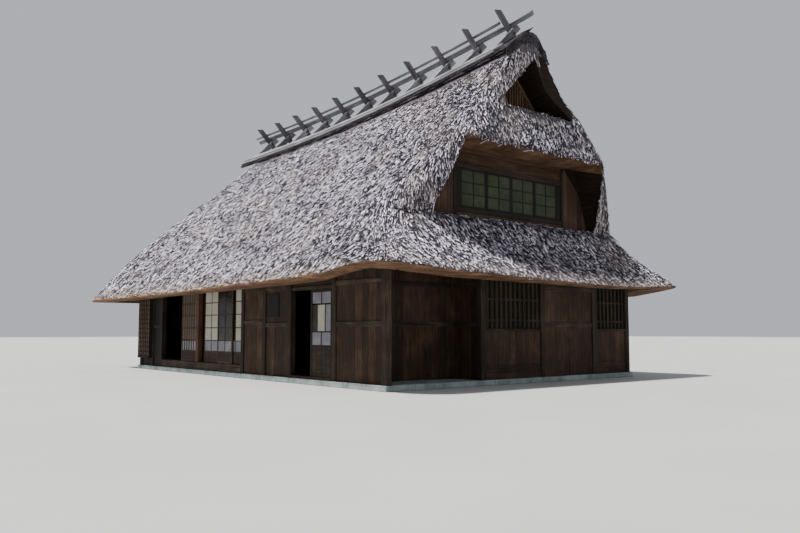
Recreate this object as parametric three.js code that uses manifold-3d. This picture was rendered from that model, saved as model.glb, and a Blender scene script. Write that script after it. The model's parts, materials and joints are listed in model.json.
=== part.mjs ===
// Thatched farmhouse with a helmet roof: one long hipped room block, an upper
// window row under the brow of the gable end, and a weathered timber ridge.
// X runs along the ridge with +X at the helmet gable, -Y is the front, Z is up.
import * as THREE from 'three';
import { mergeVertices } from 'three/addons/utils/BufferGeometryUtils.js';
import Module from 'manifold-3d';

const wasm = await Module();
wasm.setup();

// Joint gap left between pieces that touch.
const GAP = 0.4;
const FAR = 20000;

// Plan: wall lines and the eaves that overhang them.
const WALL_RIGHT = 6463.5;
const WALL_LEFT = -6263.5;
const WALL_FRONT = -4090.5;
const WALL_REAR = 4090.5;
const EAVE_HALF = 5290.5;
const EAVE_RIGHT = 7513.5;
const EAVE_LEFT = -7690;

// Heights.
const CURB_TOP = 120;
const FLOOR_TOP = 330;
const DOMA_TOP = 100;
const ENTRANCE_SILL_TOP = 175;
const ENTRANCE_HEAD = 2120;
const BAY_HEAD = 2350;
const WALL_TOP = 2550;
const EAVE_Z = 2150;
const RIDGE_Z = 7400;

// Thatch.
const THATCH_RUN = 520;
const RIDGE_HALF = 220;
const SLOPE_BELLY = 1060;
const EAVE_LIP = 26;
const CORNER_LIFT = 110;
const GABLE_LIFT = 90;
const LIFT_START = 5500;
const LIFT_REACH = 0.24;
const RIDGE_RISE = 620;
const RISE_START = -4036;
const RISE_RUN = 10500;
const RISE_FROM = 0.45;
const RISE_FULL = 0.94;
const LEFT_ROUND = 320;
const HIP_CUT = -4700;
const GABLE_CUT = 5600;

// Helmet end: upper window row, brow and the small vent gable above it.
const KABUTO_PLANE = 6110;
const KABUTO_WALL = 100;
const SKIRT_TOP = 3720;
const BROW_UNDER = 5300;
const OPENING_HALF_LOW = 2850;
const OPENING_HALF_TOP = 2330;
const LEAF_COUNT = 4;
const LEAF_WIDTH = 905;
const LEAF_LOW = 3940;
const LEAF_TOP = 4840;
const VENT_BASE = 6240;
const VENT_HALF = 1240;
const VENT_APEX = 7500;
const VENT_SILL = 6500;

// Ridge furniture.
const COVER_LOW = 6720;
const COVER_THICK = 127;
const COVER_LEFT = -5940;
const COVER_RIGHT = 6823;
const POLE_RADIUS = 50;
const POLE_OUT = 700;
const HORSE_COUNT = 11;
const HORSE_FIRST = 6170;
const HORSE_PITCH = 1133;
const HORSE_CROSS = 350;
const PLANK_THICK = 58;
const PLANK_DEPTH = 180;
const PLANK_FOOT = 640;
const PLANK_SINK = 30;
const FRONT_PLANK_PAST = 290;
const REAR_PLANK_PAST = 705;
const RAIL_SIDE = 120;
const UPPER_RAIL_SIDE = 76;
const UPPER_RAIL_UP = 238;
const UPPER_RAIL_RIGHT = 5900;
const RAIL_LEFT = -5960;
const RAIL_RIGHT = 6816;

// Wall framing.
const POST = 150;
const BOARD = 70;
const BOARD_BACK = 30;
const PORCH_LENGTH = 2727;
const PORCH_DEPTH = 909;
const LEAF_THICK = 30;
const OUTER_TRACK = -4062;
const INNER_TRACK = -4022;
const DOOR_CLEAR = 5;

// Places along the front, measured from the near corner.
const ENTRANCE_RIGHT_POST = 1818;
const ENTRANCE_LEFT_POST = 3636;
const MENU_POST = 4800;
const BAY_RIGHT_POST = 5890;
const BAY_MID_POST = 8545;
const BAY_LEFT_POST = 11075;
const CASE_START = 11740;
const CASE_END = 12630;

// Places along the gable, measured from the near corner.
const GABLE_POST_NEAR = 2727;
const GABLE_POST_MID = 4720;
const GABLE_POST_FAR = 6690;
const LATTICE_LOW = 1245;
const LATTICE_TOP = 2350;

const THATCH = { color: 0x8f8b90, roughness: 0.95 };
const BARK = { color: 0x4a4038, roughness: 0.95 };
const GREY_WOOD = { color: 0x8e8b86, roughness: 0.9 };
const DARK_WOOD = { color: 0x33241c, roughness: 0.8 };
const RED_WOOD = { color: 0x6a3524, roughness: 0.75 };
const BOARD_WOOD = { color: 0x3f2e25, roughness: 0.85 };
const PAPER_WOOD = { color: 0xcfc9bb, roughness: 0.8 };
const GLASS_WOOD = { color: 0x4c4640, roughness: 0.4 };
const STONE = { color: 0x77807a, roughness: 0.9 };
const EARTH = { color: 0x6b6257, roughness: 0.95 };

const group = new THREE.Group();
group.name = 'thatched_farmhouse';

// A closed solid from one of the geometry classes.
function solid(geometry) {
  geometry.deleteAttribute('normal');
  geometry.deleteAttribute('uv');
  const welded = mergeVertices(geometry, 1e-3);
  return new wasm.Manifold(new wasm.Mesh({
    numProp: 3,
    vertProperties: new Float32Array(welded.attributes.position.array),
    triVerts: new Uint32Array(welded.index.array),
  }));
}

function block(x0, x1, y0, y1, z0, z1) {
  const box = new THREE.BoxGeometry(x1 - x0, y1 - y0, z1 - z0);
  box.translate((x0 + x1) / 2, (y0 + y1) / 2, (z0 + z1) / 2);
  return solid(box);
}

function join(parts) {
  return parts.reduce((whole, part) => whole.add(part));
}

function outline(points) {
  return new THREE.Shape(points.map(([a, b]) => new THREE.Vector2(a, b)));
}

// A prism whose (y, z) outline runs from x0 to x1.
function prismAlongX(points, x0, x1) {
  const geometry = new THREE.ExtrudeGeometry(outline(points),
    { depth: x1 - x0, bevelEnabled: false });
  geometry.applyMatrix4(new THREE.Matrix4().makeBasis(
    new THREE.Vector3(0, 1, 0), new THREE.Vector3(0, 0, 1), new THREE.Vector3(1, 0, 0)));
  geometry.translate(x0, 0, 0);
  return solid(geometry);
}

// A prism whose (x, z) outline runs from y0 to y1.
function prismAlongY(points, y0, y1) {
  const geometry = new THREE.ExtrudeGeometry(outline(points),
    { depth: y1 - y0, bevelEnabled: false });
  geometry.rotateX(Math.PI / 2);
  geometry.translate(0, y1, 0);
  return solid(geometry);
}

// A slab whose (x, y) outline rises from z0 to z1.
function slab(shape, z0, z1) {
  const geometry = new THREE.ExtrudeGeometry(shape, { depth: z1 - z0, bevelEnabled: false });
  geometry.translate(0, 0, z0);
  return solid(geometry);
}

function addPiece(name, piece, look) {
  const { vertProperties, triVerts } = piece.getMesh();
  const geometry = new THREE.BufferGeometry();
  geometry.setAttribute('position', new THREE.BufferAttribute(new Float32Array(vertProperties), 3));
  geometry.setIndex(new THREE.BufferAttribute(new Uint32Array(triVerts), 1));
  const mesh = new THREE.Mesh(geometry, new THREE.MeshStandardMaterial({
    color: look.color, roughness: look.roughness, metalness: 0 }));
  mesh.name = name;
  group.add(mesh);
  return piece;
}

const clamp01 = (value) => THREE.MathUtils.clamp(value, 0, 1);
const share = (z) => (z - EAVE_Z) / (RIDGE_Z - EAVE_Z);

// Half depth of the roof at a height, with the slopes bellying outwards.
function halfDepth(z) {
  const s = clamp01(share(z));
  return EAVE_HALF + (RIDGE_HALF - EAVE_HALF) * s + SLOPE_BELLY * s * (1 - s);
}

// The ridge sweeps up towards the helmet gable.
function ridgeRise(x) {
  return RIDGE_RISE * (Math.max(0, x - RISE_START) / RISE_RUN) ** 2;
}

function riseWeight(z) {
  return clamp01((share(z) - RISE_FROM) / (RISE_FULL - RISE_FROM)) ** 2;
}

function lift(x, y, z) {
  const low = clamp01(1 - share(z) / LIFT_REACH) ** 2;
  const end = THREE.MathUtils.smoothstep(x, LIFT_START, EAVE_RIGHT);
  const corner = THREE.MathUtils.smoothstep(Math.abs(y), 3300, EAVE_HALF);
  return low * end * (GABLE_LIFT + CORNER_LIFT * corner) + riseWeight(z) * ridgeRise(x);
}

// Stations of the two roof ends from the eave to the ridge.
const endStations = [
  { z: EAVE_Z - 20, left: EAVE_LEFT + EAVE_LIP, right: EAVE_RIGHT - EAVE_LIP },
  { z: EAVE_Z + 15, left: EAVE_LEFT, right: EAVE_RIGHT },
  { z: 2400, left: -7670, right: 7360 },
  { z: 2800, left: -7600, right: 7010 },
  { z: 3250, left: -7470, right: 6640 },
  { z: SKIRT_TOP, left: -7260, right: 6345 },
  { z: 4050, left: -7020, right: 6513 },
  { z: 4400, left: -6740, right: 6670 },
  { z: 4800, left: -6400, right: 6860 },
  { z: BROW_UNDER, left: -5980, right: 7063 },
  { z: 5400, left: -5900, right: 7070 },
  { z: 5750, left: -5540, right: 6985 },
  { z: 6150, left: -5200, right: 6880 },
  { z: 6500, left: -5040, right: 6850 },
  { z: 6900, left: -4990, right: 6850 },
  { z: 7200, left: -4990, right: 6850 },
  { z: RIDGE_Z, left: -5000, right: 6830 },
];
const shellTopInside = 7090;

function endsAt(z) {
  const after = endStations.findIndex((station) => station.z >= z);
  if (after <= 0) return endStations[after < 0 ? endStations.length - 1 : 0];
  const high = endStations[after];
  const low = endStations[after - 1];
  const t = (z - low.z) / (high.z - low.z);
  return { z, left: THREE.MathUtils.lerp(low.left, high.left, t),
    right: THREE.MathUtils.lerp(low.right, high.right, t) };
}

// The body that is left when trimming cuts a crumb off a piece.
function mainBody(piece) {
  return piece.decompose().sort((a, b) => b.volume() - a.volume())[0];
}

// Points round one level of the roof, anticlockwise from the middle of the front.
const ARC_STEPS = 6;
const ringPlan = [];
for (const f of [0.5, 0.6, 0.7, 0.8, 0.88, 0.94]) ringPlan.push({ side: 'front', f });
for (let i = 0; i <= ARC_STEPS; i += 1) ringPlan.push({ corner: 'frontRight', turn: i / ARC_STEPS });
for (const f of [0.2, 0.4, 0.6, 0.8]) ringPlan.push({ side: 'right', f });
for (let i = 0; i <= ARC_STEPS; i += 1) ringPlan.push({ corner: 'rearRight', turn: i / ARC_STEPS });
for (const f of [0.94, 0.88, 0.8, 0.7, 0.6, 0.5, 0.4, 0.3, 0.2, 0.1]) {
  ringPlan.push({ side: 'rear', f });
}
for (let i = 0; i <= ARC_STEPS; i += 1) ringPlan.push({ corner: 'rearLeft', turn: i / ARC_STEPS });
for (const f of [0.8, 0.6, 0.4, 0.2]) ringPlan.push({ side: 'left', f });
for (let i = 0; i <= ARC_STEPS; i += 1) ringPlan.push({ corner: 'frontLeft', turn: i / ARC_STEPS });
for (const f of [0.1, 0.2, 0.3, 0.4]) ringPlan.push({ side: 'front', f });

const CORNER_SIGNS = {
  frontRight: { sx: 1, sy: -1, start: -0.5 },
  rearRight: { sx: 1, sy: 1, start: 0 },
  rearLeft: { sx: -1, sy: 1, start: 0.5 },
  frontLeft: { sx: -1, sy: -1, start: 1 },
};

function ringPoint(level, step) {
  const { left, right, half } = level;
  const round = step.corner?.endsWith('Left') || step.f < 0.3
    ? Math.min(level.round, LEFT_ROUND) : level.round;
  if (step.corner) {
    const { sx, sy, start } = CORNER_SIGNS[step.corner];
    const angle = Math.PI * (start + step.turn / 2);
    const cx = sx > 0 ? right - round : left + round;
    return [cx + round * Math.cos(angle), sy * (half - round) + round * Math.sin(angle)];
  }
  const x = THREE.MathUtils.lerp(left + round, right - round, step.f);
  const y = THREE.MathUtils.lerp(-(half - round), half - round, step.f);
  if (step.side === 'front') return [x, -half];
  if (step.side === 'rear') return [x, half];
  return [step.side === 'right' ? right : left, y];
}

// A closed stack of levels, shaped from an upright cylinder.
function stack(levels) {
  const rows = levels.length - 1;
  const count = ringPlan.length;
  const geometry = new THREE.CylinderGeometry(1, 1, 1, count, rows, false);
  geometry.rotateX(Math.PI / 2);
  const position = geometry.attributes.position;
  for (let i = 0; i < position.count; i += 1) {
    const x = position.getX(i);
    const y = position.getY(i);
    const level = levels[Math.round((position.getZ(i) + 0.5) * rows)];
    const turn = (Math.atan2(x, -y) / (2 * Math.PI)) * count;
    const step = ringPlan[((Math.round(turn) % count) + count) % count];
    const [px, py] = Math.hypot(x, y) < 0.5
      ? [(level.left + level.right) / 2, 0] : ringPoint(level, step);
    position.setXYZ(i, px, py, level.z + lift(px, py, level.liftZ ?? level.z));
  }
  return solid(geometry);
}

function cornerRound(z) {
  const s = clamp01(share(z));
  return THREE.MathUtils.lerp(820, 110, THREE.MathUtils.smoothstep(s, 0.25, 0.95));
}

function outerLevel(z) {
  const { left, right } = endsAt(z);
  const lip = z < EAVE_Z ? EAVE_LIP : 0;
  return { z, left, right, half: halfDepth(z) - lip, round: cornerRound(z) };
}

function innerLevel(z) {
  const { left, right } = endsAt(Math.max(z, EAVE_Z + 15));
  const inEnd = z < SKIRT_TOP ? right - THATCH_RUN : KABUTO_PLANE;
  const half = halfDepth(z) - THATCH_RUN;
  const leftSlope = EAVE_LEFT + THATCH_RUN + Math.max(z - EAVE_Z, 0);
  const leftEnd = Math.max(left + THATCH_RUN, Math.min(leftSlope, WALL_LEFT + 130));
  return { z, liftZ: Math.max(z, EAVE_Z), left: leftEnd, right: inEnd,
    half, round: Math.min(z < SKIRT_TOP ? cornerRound(z) - THATCH_RUN : 12, half * 0.6) };
}

const outerZ = endStations.map((station) => station.z);
outerZ.push(EAVE_Z + 110, 3000, 3480, 5050, 5560, 5950, 6320, 6700, 7050, 7300);
outerZ.sort((a, b) => a - b);
const innerZ = [EAVE_Z - 300, EAVE_Z + 15, 2400, 2800, 3250, SKIRT_TOP - 4, SKIRT_TOP, 4400,
  5050, 5560, 5950, 6320, 6700, 6950, shellTopInside];

const roofOutside = stack(outerZ.map(outerLevel));
const roofInside = stack(innerZ.map(innerLevel));

const windowRowCut = prismAlongX([
  [-OPENING_HALF_LOW, SKIRT_TOP], [OPENING_HALF_LOW, SKIRT_TOP],
  [OPENING_HALF_TOP, BROW_UNDER], [-OPENING_HALF_TOP, BROW_UNDER],
], KABUTO_PLANE - 1, EAVE_RIGHT + 500);
const ventTriangle = prismAlongX([
  [-VENT_HALF - 100, VENT_BASE - 100], [VENT_HALF + 100, VENT_BASE - 100], [0, VENT_APEX],
], KABUTO_PLANE - 1, EAVE_RIGHT + 500);
const ventSlope = prismAlongY([
  [KABUTO_PLANE - 10, VENT_SILL], [6480, VENT_SILL - 70], [6800, VENT_BASE],
  [EAVE_RIGHT + 500, VENT_BASE - 90], [EAVE_RIGHT + 500, 9000], [KABUTO_PLANE - 10, 9000],
], -3000, 3000);
const roofShell = roofOutside.subtract(roofInside).subtract(windowRowCut)
  .subtract(ventTriangle.intersect(ventSlope));

const cut = GAP / 2;
addPiece('thatch_front', roofShell.intersect(
  block(HIP_CUT + cut, GABLE_CUT - cut, -FAR, -cut, 0, FAR)), THATCH);
addPiece('thatch_rear', roofShell.intersect(
  block(HIP_CUT + cut, GABLE_CUT - cut, cut, FAR, 0, FAR)), THATCH);
addPiece('thatch_left_hip', roofShell.intersect(
  block(-FAR, HIP_CUT - cut, -FAR, FAR, 0, FAR)), THATCH);
addPiece('thatch_gable_skirt', roofShell.intersect(
  block(GABLE_CUT + cut, FAR, -FAR, FAR, 0, SKIRT_TOP - cut)), THATCH);
addPiece('thatch_gable_brow', roofShell.intersect(
  block(GABLE_CUT + cut, FAR, -FAR, FAR, SKIRT_TOP + cut, FAR)), THATCH);

// Pieces under or inside the thatch stop just short of it.
function underThatch(piece) {
  return piece.subtract(roofShell.translate([0, 0, -GAP]))
    .subtract(roofShell.translate([-GAP, 0, 0])).subtract(roofShell.translate([GAP, 0, 0]));
}

// Bark cover over the ridge.
const coverZ = [COVER_LOW, 6830, 6950, 7100, 7250, RIDGE_Z - 20, RIDGE_Z + 88];
const coverSkin = stack(coverZ.map((z) => ({
  z, left: COVER_LEFT, right: COVER_RIGHT, round: 8,
  half: z > RIDGE_Z ? RIDGE_HALF - 20 : halfDepth(z) + COVER_THICK,
})));
const coverHollow = stack(outerZ.filter((z) => z > 6300).map((z) => ({
  z, left: COVER_LEFT - 100, right: COVER_RIGHT + 100, round: 8, half: halfDepth(z),
})));
const ridgeCover = coverSkin.subtract(roofOutside.translate([0, 0, GAP]))
  .subtract(coverHollow.translate([0, 0, GAP]))
  .subtract(block(-FAR, FAR, -FAR, FAR, 0, COVER_LOW + 20));
addPiece('ridge_cover', mainBody(ridgeCover), BARK);

// Straight members that follow the sweep of the ridge.
function sweptAlongRidge(geometry) {
  const position = geometry.attributes.position;
  for (let i = 0; i < position.count; i += 1) {
    position.setZ(i, position.getZ(i) + ridgeRise(position.getX(i)));
  }
  return solid(geometry);
}

// Height of the cover's skin at a distance out from the ridge line.
function coverHeight(out) {
  let under = COVER_LOW;
  let over = RIDGE_Z;
  for (let i = 0; i < 30; i += 1) {
    const middle = (under + over) / 2;
    if (halfDepth(middle) + COVER_THICK > out) under = middle;
    else over = middle;
  }
  return under;
}

function ridgePole(side) {
  const length = 6560 - (COVER_LEFT + 60);
  const pole = new THREE.CylinderGeometry(POLE_RADIUS, POLE_RADIUS, length, 10, 16);
  pole.rotateZ(Math.PI / 2);
  pole.translate((6560 + COVER_LEFT + 60) / 2, side * POLE_OUT,
    coverHeight(POLE_OUT) + POLE_RADIUS * Math.SQRT2 - 14);
  return sweptAlongRidge(pole)
    .subtract(coverSkin.translate([0, side * GAP, GAP]));
}
addPiece('ridge_pole_front', ridgePole(-1), GREY_WOOD);
addPiece('ridge_pole_rear', ridgePole(1), GREY_WOOD);

// One crossed pair of ridge boards; the rear board reaches far past the crossing.
function horseBoard(side, past, tip) {
  const rise = RIDGE_Z + HORSE_CROSS - coverHeight(PLANK_FOOT) + PLANK_SINK;
  const run = Math.hypot(PLANK_FOOT, rise);
  const board = new THREE.Shape();
  const half = PLANK_DEPTH / 2;
  board.moveTo(-run, -half);
  board.lineTo(past - tip, -half);
  board.quadraticCurveTo(past, -half, past, half - tip * 0.4);
  board.lineTo(past - tip * 0.5, half);
  board.lineTo(-run, half);
  const geometry = new THREE.ExtrudeGeometry(board,
    { depth: PLANK_THICK, bevelEnabled: false, curveSegments: 4 });
  geometry.applyMatrix4(new THREE.Matrix4().makeBasis(
    new THREE.Vector3(0, 1, 0), new THREE.Vector3(0, 0, 1), new THREE.Vector3(1, 0, 0)));
  const lean = Math.atan2(rise, PLANK_FOOT);
  geometry.rotateX(lean);
  if (side > 0) {
    geometry.rotateZ(Math.PI);
    geometry.translate(1, 0, 0);
  }
  return solid(geometry);
}

const poleRoom = join([-1, 1].flatMap((side) => [ridgePole(side),
  ridgePole(side).translate([0, 0, GAP]), ridgePole(side).translate([0, side * GAP, 0]),
  ridgePole(side).translate([GAP, 0, 0]), ridgePole(side).translate([-GAP, 0, 0])]));
const horses = [];
for (let i = 0; i < HORSE_COUNT; i += 1) {
  const x = HORSE_FIRST - i * HORSE_PITCH;
  const pair = horseBoard(-1, FRONT_PLANK_PAST, 40).add(horseBoard(1, REAR_PLANK_PAST, 110));
  const horse = pair.translate([x, 0, RIDGE_Z + HORSE_CROSS + ridgeRise(x)])
    .subtract(coverSkin.translate([0, 0, GAP])).subtract(poleRoom);
  horses.push(horse);
}
horses.forEach((horse, i) => {
  addPiece(`ridge_horse_${String(i + 1).padStart(2, '0')}`, mainBody(horse), GREY_WOOD);
});

// The long rails: one lies in the crossings, a slimmer one above it on the rear boards.
function ridgeRail(side, across, up, right) {
  const rail = new THREE.BoxGeometry(right - RAIL_LEFT, side, side, 18, 1, 1);
  rail.rotateX(Math.PI / 4);
  rail.translate((right + RAIL_LEFT) / 2, across, RIDGE_Z + HORSE_CROSS + up);
  return horses.reduce((whole, horse) => whole.subtract(horse.translate([0, 0, GAP]))
    .subtract(horse), sweptAlongRidge(rail));
}
const crotch = PLANK_DEPTH / Math.SQRT2;
const lowerRail = ridgeRail(RAIL_SIDE, 0, crotch + RAIL_SIDE / Math.SQRT2, RAIL_RIGHT);
addPiece('ridge_rail_front', mainBody(lowerRail), GREY_WOOD);
const upperRail = ridgeRail(UPPER_RAIL_SIDE, (UPPER_RAIL_SIDE / 2 - UPPER_RAIL_UP) / Math.SQRT2,
  crotch + (UPPER_RAIL_SIDE / 2 + UPPER_RAIL_UP) / Math.SQRT2, UPPER_RAIL_RIGHT);
addPiece('ridge_rail_rear', mainBody(upperRail), GREY_WOOD);

// Stone curb round the house, solid under the corner porch.
const porchBack = WALL_RIGHT - PORCH_DEPTH;
const porchSide = WALL_FRONT + PORCH_LENGTH;
const curbOut = 50;
const curbWide = 350;
function rectangle(x0, x1, y0, y1) {
  return outline([[x0, y0], [x1, y0], [x1, y1], [x0, y1]]);
}
function interior(inset) {
  const x0 = WALL_LEFT - curbOut + inset;
  const x1 = WALL_RIGHT + curbOut - inset;
  const y0 = WALL_FRONT - curbOut + inset;
  const y1 = WALL_REAR + curbOut - inset;
  const notchX = porchBack + curbOut - inset;
  const notchY = porchSide - curbOut + inset;
  return [[x0, y0], [notchX, y0], [notchX, notchY], [x1, notchY], [x1, y1], [x0, y1]];
}
const curbPlan = rectangle(WALL_LEFT - curbOut, WALL_RIGHT + curbOut,
  WALL_FRONT - curbOut, WALL_REAR + curbOut);
curbPlan.holes.push(new THREE.Path(interior(curbWide).map(([x, y]) => new THREE.Vector2(x, y))));
addPiece('foundation', slab(curbPlan, 0, CURB_TOP), STONE);

const frontX = (distance) => WALL_RIGHT - distance;
const gableY = (distance) => WALL_FRONT + distance;
const deckRight = frontX(BAY_RIGHT_POST) - POST / 2;
addPiece('earth_floor', slab(outline(interior(curbWide + GAP)), 0, DOMA_TOP), EARTH);
addPiece('raised_floor', block(WALL_LEFT + POST + GAP, deckRight, WALL_FRONT + POST + GAP,
  WALL_REAR - POST - GAP, CURB_TOP + GAP, FLOOR_TOP), BOARD_WOOD);

// Framed board walls. Posts stand full depth, boards sit back from their faces.
const low = CURB_TOP + GAP;
function frontPost(distance, base = low) {
  const x = frontX(distance);
  return block(x - POST / 2, x + POST / 2, WALL_FRONT, WALL_FRONT + POST, base, WALL_TOP);
}
function frontBoards(near, far, z0 = low, z1 = WALL_TOP) {
  return block(frontX(far), frontX(near), WALL_FRONT + BOARD_BACK,
    WALL_FRONT + BOARD_BACK + BOARD, z0, z1);
}
const cornerPost = block(WALL_RIGHT - POST, WALL_RIGHT, WALL_FRONT, WALL_FRONT + POST,
  low, WALL_TOP);
addPiece('wall_front_right', join([cornerPost, frontBoards(POST / 2, ENTRANCE_RIGHT_POST),
  frontPost(ENTRANCE_RIGHT_POST)]), BOARD_WOOD);
addPiece('wall_front_middle', join([frontPost(ENTRANCE_LEFT_POST),
  frontBoards(ENTRANCE_LEFT_POST, BAY_RIGHT_POST), frontPost(MENU_POST),
  frontPost(BAY_RIGHT_POST)]), BOARD_WOOD);
addPiece('wall_front_left', join([frontPost(BAY_LEFT_POST), frontPost(CASE_START),
  frontBoards(BAY_LEFT_POST, frontX(WALL_LEFT) - POST / 2),
  block(WALL_LEFT, WALL_LEFT + POST, WALL_FRONT, WALL_FRONT + POST, low, WALL_TOP)]), BOARD_WOOD);
addPiece('post_bay_middle', frontPost(BAY_MID_POST, FLOOR_TOP + GAP), RED_WOOD);
addPiece('bay_sill', block(frontX(BAY_LEFT_POST) + POST / 2 + GAP,
  frontX(BAY_RIGHT_POST) - POST / 2 - GAP, WALL_FRONT, WALL_FRONT + POST, low, FLOOR_TOP), DARK_WOOD);
addPiece('entrance_sill', block(frontX(ENTRANCE_LEFT_POST) + POST / 2 + GAP,
  frontX(ENTRANCE_RIGHT_POST) - POST / 2 - GAP, WALL_FRONT, WALL_FRONT + POST,
  low, ENTRANCE_SILL_TOP), DARK_WOOD);
function headPanel(near, far, z) {
  return block(frontX(far) + POST / 2 + GAP, frontX(near) - POST / 2 - GAP,
    WALL_FRONT + 20, WALL_FRONT + 130, z, WALL_TOP);
}
addPiece('entrance_head', headPanel(ENTRANCE_RIGHT_POST, ENTRANCE_LEFT_POST, ENTRANCE_HEAD), DARK_WOOD);
addPiece('bay_head_right', headPanel(BAY_RIGHT_POST, BAY_MID_POST, BAY_HEAD), DARK_WOOD);
addPiece('bay_head_left', headPanel(BAY_MID_POST, BAY_LEFT_POST, BAY_HEAD), DARK_WOOD);

// Shutter case at the far end of the front.
addPiece('shutter_case', block(frontX(CASE_END), frontX(CASE_START), WALL_FRONT - 120,
  WALL_FRONT - GAP, 350, 2330), DARK_WOOD);

// Sliding leaves: a frame with cross rails round flat panes.
function slidingLeaf(x0, x1, y, z0, z1, columns, railHeights, kick) {
  const stile = 42;
  const paneBack = 11;
  const parts = [
    block(x0, x0 + stile, y, y + LEAF_THICK, z0, z1),
    block(x1 - stile, x1, y, y + LEAF_THICK, z0, z1),
    block(x0, x1, y, y + LEAF_THICK, z0, z0 + stile + 18),
    block(x0, x1, y, y + LEAF_THICK, z1 - stile, z1),
    block(x0 + 10, x1 - 10, y + paneBack, y + LEAF_THICK - paneBack, z0 + 10, z1 - 10),
  ];
  for (let i = 1; i < columns; i += 1) {
    const x = THREE.MathUtils.lerp(x0, x1, i / columns);
    parts.push(block(x - 9, x + 9, y + 4, y + LEAF_THICK - 4, kick ?? z0 + 20, z1 - 20));
  }
  for (const z of railHeights) {
    parts.push(block(x0 + 10, x1 - 10, y + 4, y + LEAF_THICK - 4, z - 10, z + 10));
  }
  if (kick) parts.push(block(x0 + 10, x1 - 10, y + 6, y + LEAF_THICK - 6, z0 + 10, kick));
  return join(parts);
}
const leafBase = FLOOR_TOP + GAP;
const leafTop = BAY_HEAD - DOOR_CLEAR;
const bayRails = [634, 931, 1277, 1623, 1958];
const BAY_LEAF = 850;
function bayLeaf(near, track, columns, rails, kick, width = BAY_LEAF) {
  return slidingLeaf(frontX(near + width), frontX(near), track, leafBase, leafTop,
    columns, rails, kick);
}
const entranceNear = ENTRANCE_RIGHT_POST + POST / 2 + DOOR_CLEAR;
const ENTRANCE_LEAF = 864;
for (const [name, track] of [['entrance_door_outer', OUTER_TRACK], ['entrance_door_inner', INNER_TRACK]]) {
  addPiece(name, slidingLeaf(frontX(entranceNear + ENTRANCE_LEAF), frontX(entranceNear), track,
    ENTRANCE_SILL_TOP + GAP, ENTRANCE_HEAD - DOOR_CLEAR, 2, [860, 1170, 1480, 1780], 860), GLASS_WOOD);
}
addPiece('glass_door_right', bayLeaf(5970, INNER_TRACK, 2, bayRails, 634), GLASS_WOOD);
addPiece('glass_door_left', bayLeaf(6485, OUTER_TRACK, 2, bayRails, 634), GLASS_WOOD);
addPiece('shoji_door', bayLeaf(7365, INNER_TRACK, 2, bayRails, 634), PAPER_WOOD);
addPiece('lattice_door', bayLeaf(8625, OUTER_TRACK, 6, bayRails, 634, 1000), DARK_WOOD);

// Corner porch walls, gable wall, rear wall and left wall.
const porchWalls = join([
  block(porchBack - POST, porchBack, WALL_FRONT + POST + GAP, porchSide + POST / 2, low, WALL_TOP),
  block(porchBack - POST, WALL_RIGHT - POST - GAP, porchSide - POST / 2 + BOARD_BACK,
    porchSide + POST / 2, low, WALL_TOP),
]);
addPiece('porch_walls', porchWalls, BOARD_WOOD);

function gablePost(distance) {
  const y = gableY(distance);
  return block(WALL_RIGHT - POST, WALL_RIGHT, y - POST / 2, y + POST / 2, low, WALL_TOP);
}
const gableFar = WALL_REAR - POST;
const latticeBays = [
  { from: GABLE_POST_NEAR, to: GABLE_POST_MID },
  { from: GABLE_POST_FAR, to: WALL_REAR - WALL_FRONT - POST / 2 },
];
const gableBoardRun = block(WALL_RIGHT - BOARD_BACK - BOARD, WALL_RIGHT - BOARD_BACK,
  gableY(GABLE_POST_NEAR), WALL_REAR - POST / 2, low, WALL_TOP);
const gableBoards = latticeBays.reduce((wall, bay) => wall.subtract(block(WALL_RIGHT - FAR, FAR,
  gableY(bay.from) + POST / 2, gableY(bay.to) - POST / 2, LATTICE_LOW, LATTICE_TOP)), gableBoardRun);
addPiece('wall_gable', join([gableBoards, gablePost(GABLE_POST_NEAR), gablePost(GABLE_POST_MID),
  gablePost(GABLE_POST_FAR),
  block(WALL_RIGHT - POST, WALL_RIGHT, gableFar, WALL_REAR, low, WALL_TOP)]), BOARD_WOOD);

// Window lattice: upright bars tied by two cross rails.
function latticeBetween(y0, y1) {
  const x0 = WALL_RIGHT - BOARD_BACK - 62;
  const count = Math.round((y1 - y0) / 155);
  const pitch = (y1 - y0) / count;
  const bars = [];
  for (let i = 0; i < count; i += 1) {
    const y = y0 + (i + 0.5) * pitch;
    bars.push(block(x0, x0 + 50, y - 32, y + 32, LATTICE_LOW + GAP, LATTICE_TOP - GAP));
  }
  for (const z of [1430, 1900]) bars.push(block(x0 + 8, x0 + 38, y0, y1, z - 20, z + 20));
  return join(bars);
}
latticeBays.forEach((bay, i) => addPiece(i ? 'gable_lattice_far' : 'gable_lattice_near',
  latticeBetween(gableY(bay.from) + POST / 2 + GAP, gableY(bay.to) - POST / 2 - GAP), DARK_WOOD));

// Rear wall: boards and posts round two lattice bays like those of the gable.
const REAR_POSTS = [-4611, -2650, -420, 1809, 3770];
const rearBays = [[0, 1], [3, 4]].map(([from, to]) => (
  { x0: REAR_POSTS[from] + POST / 2, x1: REAR_POSTS[to] - POST / 2 }));
const rearBoardRun = block(WALL_LEFT + POST / 2, WALL_RIGHT - POST - GAP,
  WALL_REAR - BOARD_BACK - BOARD, WALL_REAR - BOARD_BACK, low, WALL_TOP);
const rearBoards = rearBays.reduce((wall, bay) => wall.subtract(
  block(bay.x0, bay.x1, 0, FAR, LATTICE_LOW, LATTICE_TOP)), rearBoardRun);
const rearPosts = REAR_POSTS.map((x) => (
  block(x - POST / 2, x + POST / 2, WALL_REAR - POST, WALL_REAR, low, WALL_TOP)));
addPiece('wall_rear', join([rearBoards, ...rearPosts,
  block(WALL_LEFT, WALL_LEFT + POST, WALL_REAR - POST, WALL_REAR, low, WALL_TOP)]), BOARD_WOOD);
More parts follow.
